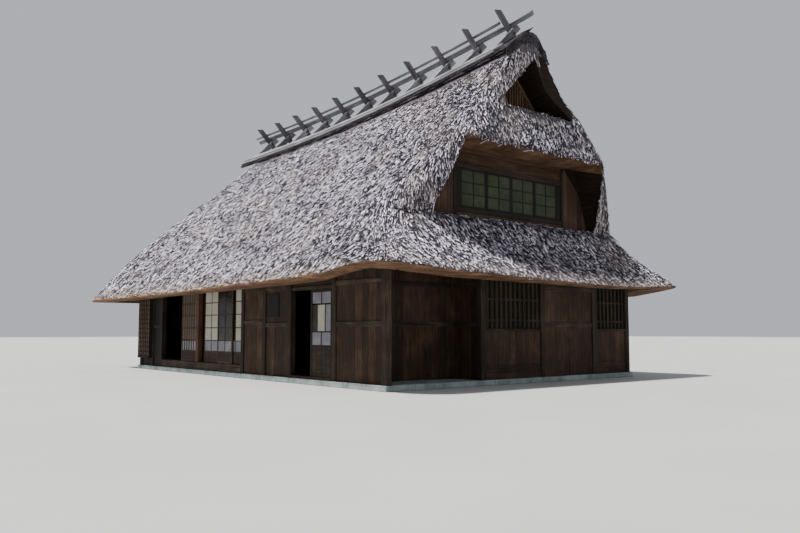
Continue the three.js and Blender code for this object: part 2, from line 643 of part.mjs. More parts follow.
rearBays.forEach((bay, i) => addPiece(i ? 'rear_lattice_right' : 'rear_lattice_left',
  latticeBetween(-bay.x1 + GAP, -bay.x0 - GAP).rotate([0, 0, 90])
    .translate([0, WALL_REAR - WALL_RIGHT, 0]), DARK_WOOD));

// Left wall, with the glazed window that is seen through the open entrance.
const SIDE_WINDOW = { y0: 1920, y1: 3010, z0: 780, z1: 1930 };
const leftPosts = [-1363, SIDE_WINDOW.y0 - POST / 2, SIDE_WINDOW.y1 + POST / 2].map((y) => (
  block(WALL_LEFT, WALL_LEFT + POST, y - POST / 2, y + POST / 2, low, WALL_TOP)));
const leftBoards = block(WALL_LEFT + BOARD_BACK, WALL_LEFT + BOARD_BACK + BOARD,
  WALL_FRONT + POST + GAP, WALL_REAR - POST - GAP, low, WALL_TOP)
  .subtract(block(-FAR, 0, SIDE_WINDOW.y0, SIDE_WINDOW.y1, SIDE_WINDOW.z0, SIDE_WINDOW.z1));
addPiece('wall_left', join([leftBoards, ...leftPosts]), BOARD_WOOD);
const sideLeaf = slidingLeaf(SIDE_WINDOW.y0 + GAP, SIDE_WINDOW.y1 - GAP, 0,
  SIDE_WINDOW.z0 + GAP, SIDE_WINDOW.z1 - GAP, 3, [1160, 1540]);
addPiece('side_window', sideLeaf.rotate([0, 0, 90]).translate([WALL_LEFT + 80, 0, 0]), GLASS_WOOD);

// Beam that ties the wall heads and carries the thatch.
const beamPlan = rectangle(WALL_LEFT, WALL_RIGHT, WALL_FRONT, WALL_REAR);
beamPlan.holes.push(new THREE.Path([
  new THREE.Vector2(WALL_LEFT + POST, WALL_FRONT + POST),
  new THREE.Vector2(WALL_RIGHT - POST, WALL_FRONT + POST),
  new THREE.Vector2(WALL_RIGHT - POST, WALL_REAR - POST),
  new THREE.Vector2(WALL_LEFT + POST, WALL_REAR - POST),
]));
addPiece('wall_beam', mainBody(underThatch(slab(beamPlan, WALL_TOP + GAP, 3060))), DARK_WOOD);

// Upper wall behind the window row, with its four leaves.
const rowHalf = (LEAF_COUNT * LEAF_WIDTH) / 2;
const upperWallSide = [[2970, SKIRT_TOP + GAP], [2740, 4400], [2440, 4800], [1940, BROW_UNDER + 20]];
const upperWall = prismAlongX([...upperWallSide, ...upperWallSide.map(([y, z]) => [-y, z]).reverse()],
  KABUTO_PLANE - KABUTO_WALL, KABUTO_PLANE - GAP)
  .subtract(block(0, FAR, -rowHalf, rowHalf, LEAF_LOW, LEAF_TOP));
addPiece('upper_wall', upperWall, BOARD_WOOD);
for (const [name, first] of [['upper_window_near', 0], ['upper_window_far', 2]]) {
  const parts = [];
  for (let i = first; i < first + 2; i += 1) {
    const y0 = -rowHalf + i * LEAF_WIDTH;
    const inset = i === first ? GAP : 0;
    const stiles = [y0 + inset, y0 + LEAF_WIDTH - (i > first ? GAP : 0)];
    parts.push(block(6062, 6076, stiles[0], stiles[1], LEAF_LOW + GAP, LEAF_TOP - GAP));
    parts.push(block(6050, 6088, stiles[0], stiles[0] + 44, LEAF_LOW + GAP, LEAF_TOP - GAP));
    parts.push(block(6050, 6088, stiles[1] - 44, stiles[1], LEAF_LOW + GAP, LEAF_TOP - GAP));
    parts.push(block(6050, 6088, stiles[0], stiles[1], LEAF_LOW + GAP, LEAF_LOW + 50));
    parts.push(block(6050, 6088, stiles[0], stiles[1], LEAF_TOP - 40, LEAF_TOP - GAP));
  }
  addPiece(name, join(parts), GLASS_WOOD);
}

// Lattice that closes the small vent gable.
const ventFrameOuter = [[-1000, VENT_SILL - 80], [1000, VENT_SILL - 80], [975, VENT_SILL],
  [565, 7000], [45, VENT_APEX + 130], [-45, VENT_APEX + 130], [-565, 7000], [-975, VENT_SILL]];
const ventFrameInner = [[-860, VENT_SILL + 60], [860, VENT_SILL + 60], [0, VENT_APEX - 60]];
const ventX0 = KABUTO_PLANE - 80;
const ventX1 = KABUTO_PLANE - GAP;
const ventBars = [];
for (let y = -975; y <= 975; y += 78) {
  ventBars.push(block(ventX0 + 20, ventX1 - 20, y - 20, y + 20, VENT_SILL - 40, VENT_APEX + 120));
}
const ventPanel = prismAlongX(ventFrameOuter, ventX0, ventX1)
  .subtract(prismAlongX(ventFrameInner, ventX0 - 10, ventX1 + 10))
  .add(join(ventBars).intersect(prismAlongX(ventFrameOuter, ventX0, ventX1)));
addPiece('vent_lattice', ventPanel, GREY_WOOD);

export default group;
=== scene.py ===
"""Looks of a thatched farmhouse with a helmet roof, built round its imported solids."""

import json
import logging
import math
import random
from dataclasses import dataclass, field
from enum import Enum
from typing import Callable

import bmesh
import bpy
from mathutils import Euler, Matrix, Vector, noise
from mathutils.bvhtree import BVHTree

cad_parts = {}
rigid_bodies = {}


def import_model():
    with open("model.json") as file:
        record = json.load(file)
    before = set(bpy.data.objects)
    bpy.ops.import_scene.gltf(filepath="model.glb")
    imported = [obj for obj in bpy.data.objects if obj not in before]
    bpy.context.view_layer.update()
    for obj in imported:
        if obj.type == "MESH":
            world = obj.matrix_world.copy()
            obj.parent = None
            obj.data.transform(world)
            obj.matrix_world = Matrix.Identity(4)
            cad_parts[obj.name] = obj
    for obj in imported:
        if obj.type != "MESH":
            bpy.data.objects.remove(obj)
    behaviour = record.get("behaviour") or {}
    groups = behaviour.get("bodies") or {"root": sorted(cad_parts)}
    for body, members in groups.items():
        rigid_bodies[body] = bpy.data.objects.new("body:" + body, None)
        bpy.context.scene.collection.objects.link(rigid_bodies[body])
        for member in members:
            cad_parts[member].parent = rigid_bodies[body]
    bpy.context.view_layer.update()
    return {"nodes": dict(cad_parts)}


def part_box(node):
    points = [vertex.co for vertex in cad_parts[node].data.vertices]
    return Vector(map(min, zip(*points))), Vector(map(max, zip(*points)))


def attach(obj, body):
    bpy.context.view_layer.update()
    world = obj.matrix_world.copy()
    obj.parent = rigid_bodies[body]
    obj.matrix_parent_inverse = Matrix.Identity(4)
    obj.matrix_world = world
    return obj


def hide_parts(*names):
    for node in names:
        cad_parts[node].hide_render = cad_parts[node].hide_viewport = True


Socket = bpy.types.NodeSocket
Material = bpy.types.Material
BMesh = bmesh.types.BMesh
BMFace = bmesh.types.BMFace

LOG = logging.getLogger("farmhouse")
HOUSE = "house"


class Along(Enum):
    """Directions that a wall or a row runs in, by the axis it runs along."""

    FRONT = 0
    SIDE = 1


class Facing(Enum):
    """Which way the outer face of a wall looks."""

    MINUS = -1
    PLUS = 1


def smooth(value: float, start: float, run: float) -> float:
    """How far a value has passed a start, as a share of the run with soft ends."""
    share = min(max((value - start) / run, 0.0), 1.0)
    return share * share * (3 - 2 * share)


def shares(low: float, high: float, count: int) -> list[tuple[float, float]]:
    """The two ends of each equal part of a length."""
    step = (high - low) / count
    return [(low + index * step, low + (index + 1) * step) for index in range(count)]


def ragged(*place: float) -> float:
    """Smooth noise at a place, for torn and grown shapes."""
    return noise.noise(Vector(place))


def faces_of(verts: list) -> list[BMFace]:
    """Every face that touches the vertices."""
    return list({face for vert in verts for face in vert.link_faces})


def edges_of(verts: list) -> list[bmesh.types.BMEdge]:
    """Every edge that touches the vertices."""
    return list({edge for vert in verts for edge in vert.link_edges})


def sheet(bm: BMesh, columns: int, rows: int,
          shape: Callable[[float, float], Vector]) -> list[BMFace]:
    """Add a sheet whose vertices are placed by their shares along and across it.

    Args:
        bm: the mesh being made.
        columns: how many quads it has along.
        rows: how many quads it has across.
        shape: gives the place of a vertex from its two shares.

    Returns:
        The sheet's faces.
    """
    verts = bmesh.ops.create_grid(bm, x_segments=columns, y_segments=rows, size=0.5)["verts"]
    for vert in verts:
        vert.co = shape(vert.co.x + 0.5, vert.co.y + 0.5)
    return faces_of(verts)


def mesh_of(bm: BMesh, name: str, *finishes: Material) -> bpy.types.Mesh:
    """A mesh with its finishes, made from a bmesh that is freed."""
    mesh = bpy.data.meshes.new(name)
    bm.to_mesh(mesh)
    bm.free()
    for finish in finishes:
        mesh.materials.append(finish)
    return mesh


def stand(name: str, data: bpy.types.ID) -> bpy.types.Object:
    """A new object in the scene."""
    thing = bpy.data.objects.new(name, data)
    bpy.context.scene.collection.objects.link(thing)
    return thing


@dataclass(frozen=True)
class Plan:
    """Sizes of the house in metres, shared by every sub-assembly."""

    wall_right: float = 6.4635
    wall_left: float = -6.2635
    wall_front: float = -4.0905
    wall_rear: float = 4.0905
    floor_top: float = 0.33
    wall_top: float = 2.55
    post: float = 0.15
    board_back: float = 0.03
    eave_z: float = 2.15
    ridge_z: float = 7.4
    eave_half: float = 5.2905
    ridge_half: float = 0.22
    belly: float = 1.06
    rise: float = 0.62
    rise_start: float = -4.036
    rise_run: float = 10.5
    helmet_plane: float = 6.11
    skirt_top: float = 3.72
    brow_under: float = 5.3
    cut_top: float = 2.27
    far_back: float = 0.18
    verge_x: float = 6.25
    verge_low: float = 5.6
    verge_rise: float = 0.6
    verge_soft: float = 0.45
    corner_lift: float = 0.11
    corner_out: tuple[float, float] = (4.2, 6.5)
    lift_out: tuple[float, float] = (0.0, 0.9)
    lift_up: tuple[float, float] = (2.3, 1.2)
    lift_along: tuple[float, float] = (-3.0, 10.0)
    lift_across: tuple[float, float] = (-3.5, 5.0)
    porch_deep: float = 0.909
    porch_long: float = 2.727

    def half_depth(self, z: float) -> float:
        """Half depth of the thatch at a height."""
        s = min(max((z - self.eave_z) / (self.ridge_z - self.eave_z), 0.0), 1.0)
        return self.eave_half + (self.ridge_half - self.eave_half) * s + self.belly * s * (1 - s)

    def ridge_rise(self, x: float) -> float:
        """How far the ridge has swept up at a place along it."""
        return self.rise * (max(0.0, x - self.rise_start) / self.rise_run) ** 2

    def drawn_back(self, point: Vector) -> Vector:
        """Carry a point back where the helmet's far verge stands behind the near one."""
        level = point.z - self.ridge_rise(point.x)
        share = smooth(level, self.verge_low, self.verge_rise)
        share *= smooth(point.y, 0.0, self.verge_soft)
        share *= smooth(point.x, self.verge_x, self.verge_soft)
        return Vector((point.x - self.far_back * share, point.y, point.z))

    def eave_lift(self, point: Vector) -> Vector:
        """Carry a point of the thatch up where the eave rises to the near corner."""
        out = max(abs(point.y) - self.corner_out[0], point.x - self.corner_out[1])
        share = smooth(out, *self.lift_out) * (1.0 - smooth(point.z, *self.lift_up))
        share *= smooth(point.x, *self.lift_along) * (1.0 - smooth(point.y, *self.lift_across))
        return Vector((point.x, point.y, point.z + self.corner_lift * share))

    def slope_height(self, out: float, thick: float = 0.0) -> float:
        """Height of a skin laid on the slope, at a distance out from the ridge line.

        Args:
            out: distance from the ridge line.
            thick: thickness of the skin, measured level.

        Returns:
            The height before the ridge's sweep is added.
        """
        low, high = self.eave_z, self.ridge_z
        for _ in range(30):
            middle = (low + high) / 2
            if self.half_depth(middle) + thick > out:
                low = middle
            else:
                high = middle
        return low

    def front_x(self, distance: float) -> float:
        """X of a place on the front, measured from the near corner."""
        return self.wall_right - distance

    def gable_y(self, distance: float) -> float:
        """Y of a place on the gable side, measured from the near corner."""
        return self.wall_front + distance


PLAN = Plan()


class NodeBench:
    """A material's node tree, with short calls for the nodes that the finishes use."""

    def __init__(self, name: str) -> None:
        """Start a material that holds only a Principled shader and its output."""
        self.material = bpy.data.materials.new(name)
        self.material.use_nodes = True
        self.tree = self.material.node_tree
        self.tree.nodes.clear()
        self.shader = self.node("BsdfPrincipled")
        output = self.node("OutputMaterial")
        self.tree.links.new(self.shader.outputs["BSDF"], output.inputs["Surface"])

    def node(self, kind: str, **inputs: object) -> bpy.types.Node:
        """Add a shader node; a value of an input may be a socket, which is then linked."""
        node = self.tree.nodes.new("ShaderNode" + kind)
        for name, value in inputs.items():
            self.set(node, name.replace("_", " "), value)
        return node

    def set(self, node: bpy.types.Node, socket: str | int, value: object) -> None:
        """Give an input a value, or link it where the value is a socket."""
        target = node.inputs[socket]
        if isinstance(value, Socket):
            self.tree.links.new(value, target)
        else:
            target.default_value = value

    def place(self) -> Socket:
        """Object coordinates, in metres."""
        return self.node("TexCoord").outputs["Object"]

    def attribute(self, name: str, output: str = "Fac") -> Socket:
        """A value that the mesh carries."""
        node = self.node("Attribute")
        node.attribute_name = name
        return node.outputs[output]

    def part(self, vector: Socket, axis: str) -> Socket:
        """One coordinate of a place."""
        return self.node("SeparateXYZ", Vector=vector).outputs[axis]

    def stretched(self, vector: Socket, scale: tuple) -> Socket:
        """The coordinates multiplied along each axis."""
        node = self.node("VectorMath")
        node.operation = "MULTIPLY"
        self.set(node, 0, vector)
        self.set(node, 1, scale)
        return node.outputs[0]

    def noise(self, vector: Socket, scale: float, detail: float = 3.0, roughness: float = 0.55,
              stretch: tuple | None = None) -> Socket:
        """Fractal noise from 0 to 1, stretched along the axes if wanted."""
        if stretch:
            vector = self.stretched(vector, stretch)
        return self.node("TexNoise", Vector=vector, Scale=scale, Detail=detail,
                         Roughness=roughness).outputs["Fac"]

    def cells(self, vector: Socket, scale: float, feature: str = "DISTANCE_TO_EDGE") -> Socket:
        """Distance inside a field of cells."""
        node = self.node("TexVoronoi")
        node.feature = feature
        self.set(node, "Vector", vector)
        self.set(node, "Scale", scale)
        return node.outputs["Distance"]

    def math(self, kind: str, a: Socket | float, b: Socket | float) -> Socket:
        """One arithmetic step."""
        node = self.node("Math")
        node.operation = kind
        self.set(node, 0, a)
        self.set(node, 1, b)
        return node.outputs[0]

    def spread(self, value: Socket, low: float, high: float,
               to_low: float = 0.0, to_high: float = 1.0) -> Socket:
        """A value stretched from one range to another, and held inside it."""
        return self.node("MapRange", Value=value, From_Min=low, From_Max=high, To_Min=to_low,
                         To_Max=to_high).outputs["Result"]

    def ramp(self, value: Socket, *stops: tuple[float, tuple]) -> Socket:
        """A colour picked along a row of stops."""
        node = self.node("ValToRGB", Fac=value)
        elements = node.color_ramp.elements
        while len(elements) < len(stops):
            elements.new(0.5)
        for element, (position, colour) in zip(elements, stops):
            element.position = position
            element.color = (*colour, 1.0)
        return node.outputs["Color"]

    def blend(self, factor: Socket | float, a: Socket | tuple, b: Socket | tuple,
              mode: str = "MIX") -> Socket:
        """Two colours mixed."""
        node = self.node("Mix")
        node.data_type = "RGBA"
        node.blend_type = mode
        self.set(node, 0, factor)
        for index, value in ((6, a), (7, b)):
            self.set(node, index, value if isinstance(value, Socket) else (*value, 1.0))
        return node.outputs[2]

    def cover(self, base: Socket | tuple, colour: Socket | tuple, value: Socket,
              *spread: float) -> Socket:
        """A colour laid over another as far as a value that is spread out says."""
        return self.blend(self.spread(value, *spread), base, colour)

    def bump(self, height: Socket, distance: float, strength: float = 1.0) -> Socket:
        """A bumped normal."""
        return self.node("Bump", Distance=distance, Strength=strength,
                         Height=height).outputs["Normal"]

    def finish(self, colour: Socket, roughness: Socket | float, specular: float = 0.5,
               normal: Socket | None = None) -> Material:
        """Dress the shader.

        Args:
            colour: base colour.
            roughness: roughness socket or number.
            specular: strength of the mirror-like share.
            normal: bumped normal, if any.

        Returns:
            The finished material.
        """
        values = {"Base Color": colour, "Roughness": roughness, "Specular IOR Level": specular}
        if normal is not None:
            values["Normal"] = normal
        for name, value in values.items():
            self.set(self.shader, name, value)
        return self.material


@dataclass(frozen=True)
class Finish:
    """A look that can be made as a material."""

    name: str

    def make(self) -> Material:
        """Dress a fresh bench with the look."""
        bench = NodeBench(self.name)
        return self.dress(bench, bench.place())

    def dress(self, bench: NodeBench, place: Socket) -> Material:
        """Lay the look's patterns on a bench."""
        raise NotImplementedError


@dataclass(frozen=True)
class Timber(Finish):
    """Wood whose grain follows each bar's own length."""

    dark: tuple
    light: tuple
    worn: tuple
    wear: float = 0.35
    gloss: float = 0.72
    checks: float = 0.5
    tones: tuple[float, float] = (0.62, 1.38)

    def dress(self, bench: NodeBench, place: Socket) -> Material:
        """Grain, drying checks, weathered patches and a tone for each bar."""
        grain = bench.attribute("grain", "Vector")
        fibre = bench.noise(grain, 46, 5, 0.65, (1, 1, 0.05))
        broad = bench.noise(grain, 9, 3, stretch=(1, 1, 0.12))
        weather = bench.noise(place, 1.7, 4)
        crack = bench.spread(bench.noise(grain, 30, 2, 0.4, (1, 1, 0.02)), 0.30, 0.36)
        base = bench.ramp(fibre, (0.25, self.dark), (0.75, self.light))
        base = bench.cover(base, self.dark, broad, 0.35, 0.7, 0.0, 0.6)
        worn = bench.math("MULTIPLY", weather, fibre)
        base = bench.cover(base, self.worn, worn, 0.22, 0.42, 0.0, self.wear)
        tone = bench.spread(bench.attribute("tone"), 0, 1, *self.tones)
        tint = bench.node("CombineColor", Red=tone, Green=tone, Blue=tone)
        base = bench.blend(1.0, base, tint.outputs[0], "MULTIPLY")
        open_check = bench.math("MULTIPLY", bench.math("SUBTRACT", 1.0, crack), self.checks)
        base = bench.blend(open_check, base, tuple(c * 0.25 for c in self.dark))
        height = bench.math("ADD", bench.math("MULTIPLY", fibre, 0.5), crack)
        rough = bench.spread(fibre, 0.2, 0.8, self.gloss, self.gloss + 0.2)
        return bench.finish(base, rough, 0.3, bench.bump(height, 0.004, 0.7))


@dataclass(frozen=True)
class ReedSkin(Finish):
    """The thatch under the laid reeds: mostly painted shade in the gaps, with a few pale ends."""

    # gap is painted shade: the dark between the laid reeds
    gap: tuple = (0.022, 0.018, 0.024)
    reed: tuple = (0.120, 0.108, 0.128)
    bleached: tuple = (0.420, 0.395, 0.440)

    def dress(self, bench: NodeBench, place: Socket) -> Material:
        """Short streaks down the fall of the slope over broad mottling."""
        streak = bench.noise(bench.attribute("lay", "Vector"), 30, 4, 0.75, (1, 0.22, 1))
        mottle = bench.noise(place, 1.5, 4, 0.6)
        # The dark end of the streaks and the low mottling take the painted gap shade
        base = bench.ramp(streak, (0.40, self.gap), (0.52, self.reed), (0.64, self.bleached))
        base = bench.cover(base, self.gap, mottle, 0.3, 0.6, 0.5, 0.0)
        return bench.finish(base, 0.95, 0.15, bench.bump(streak, 0.05))


@dataclass(frozen=True)
class Reed(Finish):
    """The short reed ends that cover the thatch."""

    # root is painted shade where each tuft runs in under the tufts above it
    root: tuple = (0.030, 0.026, 0.034)
    # shade is painted shade in the gaps between the reeds, given to the darker tufts; the broad
    # mottling darkens towards it too
    shade: tuple = (0.036, 0.031, 0.045)
    body: tuple = (0.380, 0.350, 0.410)
    bleached: tuple = (0.950, 0.898, 1.000)
    straw: tuple = (0.560, 0.460, 0.365)
    eave: tuple[float, float] = (2.20, 2.62)
    darkened: tuple[float, float] = (2.5, 5.8)

    def dress(self, bench: NodeBench, place: Socket) -> Material:
        """A tone for each tuft, the darker tufts painted shade between the reeds, painted shade at
        the roots, more dark tufts towards the gable end, tan patches and broad mottling.
        """
        tone, along = bench.attribute("tone"), bench.attribute("along")
        mottle = bench.noise(place, 1.3, 4, 0.6)
        tan = bench.noise(place, 0.8, 3)
        # Towards the gable end the tone is lowered, so more tufts take the painted shade colour
        darkened = bench.spread(bench.part(place, "X"), *self.darkened, 0.0, 0.10)
        base = bench.ramp(bench.math("SUBTRACT", tone, darkened), (0.0, self.shade),
                          (0.56, self.shade), (0.60, self.body), (0.66, self.bleached))
        edge = bench.spread(bench.part(place, "Z"), *self.eave, 0.85, 0.0)
        straw = bench.math("MAXIMUM", bench.spread(tan, 0.50, 0.72, 0.0, 0.5), edge)
        base = bench.blend(bench.math("MULTIPLY", straw, tone), base, self.straw)
        base = bench.cover(base, self.shade, mottle, 0.34, 0.54, 0.35, 0.0)
        # Painted shade at the buried root of each tuft
        base = bench.cover(base, self.root, along, 0.0, 0.5, 0.90, 0.0)
        return bench.finish(base, 0.9, 0.2)


@dataclass(frozen=True)
class CutReed(Finish):
    """Thatch that was cut square: orange-brown ends lying in thin layers."""

    dark: tuple = (0.040, 0.020, 0.011)
    body: tuple = (0.175, 0.095, 0.052)
    light: tuple = (0.340, 0.220, 0.135)

    def dress(self, bench: NodeBench, place: Socket) -> Material:
        """Layers that run level, stippled with reed ends."""
        layer = bench.noise(place, 7, 4, 0.6, (0.25, 0.25, 7))
        patch = bench.noise(place, 2.2, 3)
        stipple = bench.spread(bench.cells(place, 62, "F1"), 0.1, 0.75)
        mixed = bench.math("ADD", bench.math("MULTIPLY", layer, 0.7),
                           bench.math("MULTIPLY", stipple, 0.3))
        base = bench.ramp(mixed, (0.25, self.light), (0.5, self.body), (0.72, self.dark))
        base = bench.cover(base, self.dark, patch, 0.4, 0.7, 0.0, 0.55)
        return bench.finish(base, 0.93, 0.15, bench.bump(mixed, 0.02))


@dataclass(frozen=True)
class Bark(Finish):
    """Layered bark over the ridge."""

    dark: tuple = (0.008, 0.006, 0.007)
    body: tuple = (0.030, 0.024, 0.026)
    silver: tuple = (0.085, 0.078, 0.090)

    def dress(self, bench: NodeBench, place: Socket) -> Material:
        """Fibrous strips, silvered where the weather reaches."""
        fibre = bench.noise(place, 42, 5, 0.7, (0.2, 1, 1))
        plate = bench.cells(bench.stretched(place, (0.35, 1, 1)), 9)
        patch = bench.noise(place, 3.0, 4)
        base = bench.ramp(fibre, (0.32, self.dark), (0.6, self.body))
        silvered = bench.math("MULTIPLY", patch, fibre)
        base = bench.cover(base, self.silver, silvered, 0.22, 0.36, 0.0, 0.85)
        base = bench.cover(base, self.dark, plate, 0.0, 0.05, 0.8, 0.0)
        height = bench.math("ADD", fibre, bench.spread(plate, 0.0, 0.08))
        return bench.finish(base, 0.92, 0.2, bench.bump(height, 0.012))


@dataclass(frozen=True)
class Mineral(Finish):
    """Stone or packed earth."""

    dark: tuple
    body: tuple
    pale: tuple
    grit: float = 60.0

    def dress(self, bench: NodeBench, place: Socket) -> Material:
        """Stains, grit and pits."""
        stain = bench.noise(place, 2.4, 5, 0.65)
        grit = bench.noise(place, self.grit, 3, 0.7)
        pits = bench.cells(place, self.grit * 0.5, "F1")
        base = bench.ramp(stain, (0.32, self.dark), (0.5, self.body), (0.72, self.pale))
        base = bench.cover(base, self.pale, grit, 0.35, 0.65, 0.0, 0.4)
        height = bench.math("ADD", grit, bench.spread(pits, 0.0, 0.3))
        return bench.finish(base, 0.9, 0.25, bench.bump(height, 0.004))


@dataclass(frozen=True)
class Pane(Finish):
    """Glass of a leaf with a dim room behind it, a little dusty."""

    body: tuple
    dust: tuple
    roughness: float = 0.10

    def dress(self, bench: NodeBench, place: Socket) -> Material:
        """A smooth pane with faint dust and slight waves."""
        dust = bench.noise(place, 3.2, 4, 0.6)
        base = bench.cover(self.body, self.dust, dust, 0.42, 0.75)
        rough = bench.spread(dust, 0.3, 0.8, self.roughness, self.roughness + 0.2)
        return bench.finish(base, rough, 0.14, bench.bump(bench.noise(place, 3.5, 2), 0.001, 0.4))


@dataclass(frozen=True)
class Paper(Finish):
    """Pale paper behind a lattice."""

    body: tuple = (0.42, 0.395, 0.33)
    stain: tuple = (0.25, 0.215, 0.16)

    def dress(self, bench: NodeBench, place: Socket) -> Material:
        """Fibres and faint stains."""
        fibre = bench.noise(place, 60, 4, 0.6, (3, 3, 1))
        base = bench.cover(self.body, self.stain, bench.noise(place, 2.8, 4), 0.45, 0.8, 0.0, 0.6)
        base = bench.cover(base, self.stain, fibre, 0.4, 0.7, 0.0, 0.18)
        return bench.finish(base, 0.85, 0.2, bench.bump(fibre, 0.001))


@dataclass(frozen=True)
class Rope(Finish):
    """Straw rope."""

    dark: tuple = (0.035, 0.028, 0.024)
    light: tuple = (0.130, 0.110, 0.090)

    def dress(self, bench: NodeBench, place: Socket) -> Material:
        """Twisted strands."""
        strand = bench.noise(place, 130, 2)
        base = bench.ramp(strand, (0.35, self.dark), (0.65, self.light))
        return bench.finish(base, 0.9, 0.2, bench.bump(strand, 0.004))


class Finishes:
    """Every finish of the house, made once."""

    def __init__(self) -> None:
        """Make the materials."""
        self.boards = Timber("dark_boards", (0.013, 0.0062, 0.0030), (0.062, 0.030, 0.0145),
                             (0.125, 0.076, 0.044), 0.45).make()
        self.frame = Timber("dark_frame", (0.009, 0.0055, 0.0035), (0.030, 0.018, 0.011),
                            (0.070, 0.050, 0.035), 0.4).make()
        self.post = Timber("weathered_post", (0.014, 0.0085, 0.0055), (0.050, 0.032, 0.021),
                           (0.115, 0.088, 0.066), 0.5, 0.8, 0.8).make()
        self.red = Timber("red_timber", (0.034, 0.015, 0.008), (0.094, 0.044, 0.024),
                          (0.160, 0.096, 0.060), 0.5).make()
        self.brown = Timber("brown_timber", (0.022, 0.012, 0.007), (0.074, 0.041, 0.024),
                            (0.130, 0.088, 0.058), 0.5).make()
        self.silver = Timber("silver_timber", (0.130, 0.128, 0.142), (0.330, 0.330, 0.358),
                             (0.500, 0.505, 0.540), 0.7, 0.78, 0.8).make()
        self.pale = Timber("pale_brown_timber", (0.060, 0.034, 0.019), (0.200, 0.122, 0.072),
                           (0.280, 0.190, 0.125), 0.4).make()
        self.black = Timber("blackened_board", (0.0040, 0.0035, 0.0030), (0.0110, 0.0095, 0.0080),
                            (0.024, 0.021, 0.018), 0.3).make()
        # A darker copy of the silver timber: painted shade on the rear crossed boards
        self.shaded_silver = Timber("grey_timber", (0.070, 0.064, 0.073), (0.200, 0.188, 0.208),
                           (0.360, 0.345, 0.375), 0.6, 0.8, 0.8).make()
        self.floor = Timber("floor_timber", (0.040, 0.024, 0.015), (0.115, 0.074, 0.048),
                            (0.170, 0.130, 0.095), 0.4, 0.55).make()
        self.skin = ReedSkin("reed_skin").make()
        self.reed = Reed("reed_tufts").make()
        self.cut = CutReed("cut_reed").make()
        # A darker copy of the cut reed: painted shade for the undersides and inner faces of the
        # thatch
        self.shaded_soffit = CutReed("reed_soffit", (0.006, 0.004, 0.003), (0.024, 0.015, 0.010),
                              (0.056, 0.036, 0.024)).make()
        self.bark = Bark("ridge_bark_strips").make()
        self.stone = Mineral("curb_stone", (0.105, 0.135, 0.130), (0.230, 0.275, 0.270),
                             (0.370, 0.420, 0.415)).make()
        self.earth = Mineral("packed_earth", (0.090, 0.074, 0.060), (0.165, 0.140, 0.115),
                             (0.230, 0.205, 0.175), 38.0).make()
        # The dark bodies of these two glasses are painted: shade of the dim room behind the panes,
        # and reflection of dark greenery
        self.glass = Pane("leaf_glass", (0.014, 0.015, 0.011), (0.030, 0.030, 0.023)).make()
        self.dusk = Pane("window_glass", (0.030, 0.037, 0.018), (0.050, 0.060, 0.032)).make()
        self.frosted = Pane("frosted_glass", (0.160, 0.160, 0.182), (0.265, 0.260, 0.285),
                            0.4).make()
        self.paper = Paper("leaf_paper").make()
        self.old_paper = Paper("aged_paper", (0.110, 0.088, 0.068), (0.062, 0.048, 0.036)).make()
        self.rope = Rope("straw_rope").make()


def publish(name: str, mesh: bpy.types.Mesh, body: str, slot: str,
            nodes: tuple[str, ...] = ()) -> None:
    """Put a finished mesh in the scene as a piece.

    Args:
        name: the piece's name.
        mesh: its mesh, already in place.
        body: the CAD body that it moves with.
        slot: the record's material slot; not used.
        nodes: CAD nodes that it stands for.
    """
    piece = stand(name, mesh)
    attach(piece, body)
    if nodes:
        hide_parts(*nodes)
    LOG.info("%s: %d faces on %s", name, len(mesh.polygons), body)


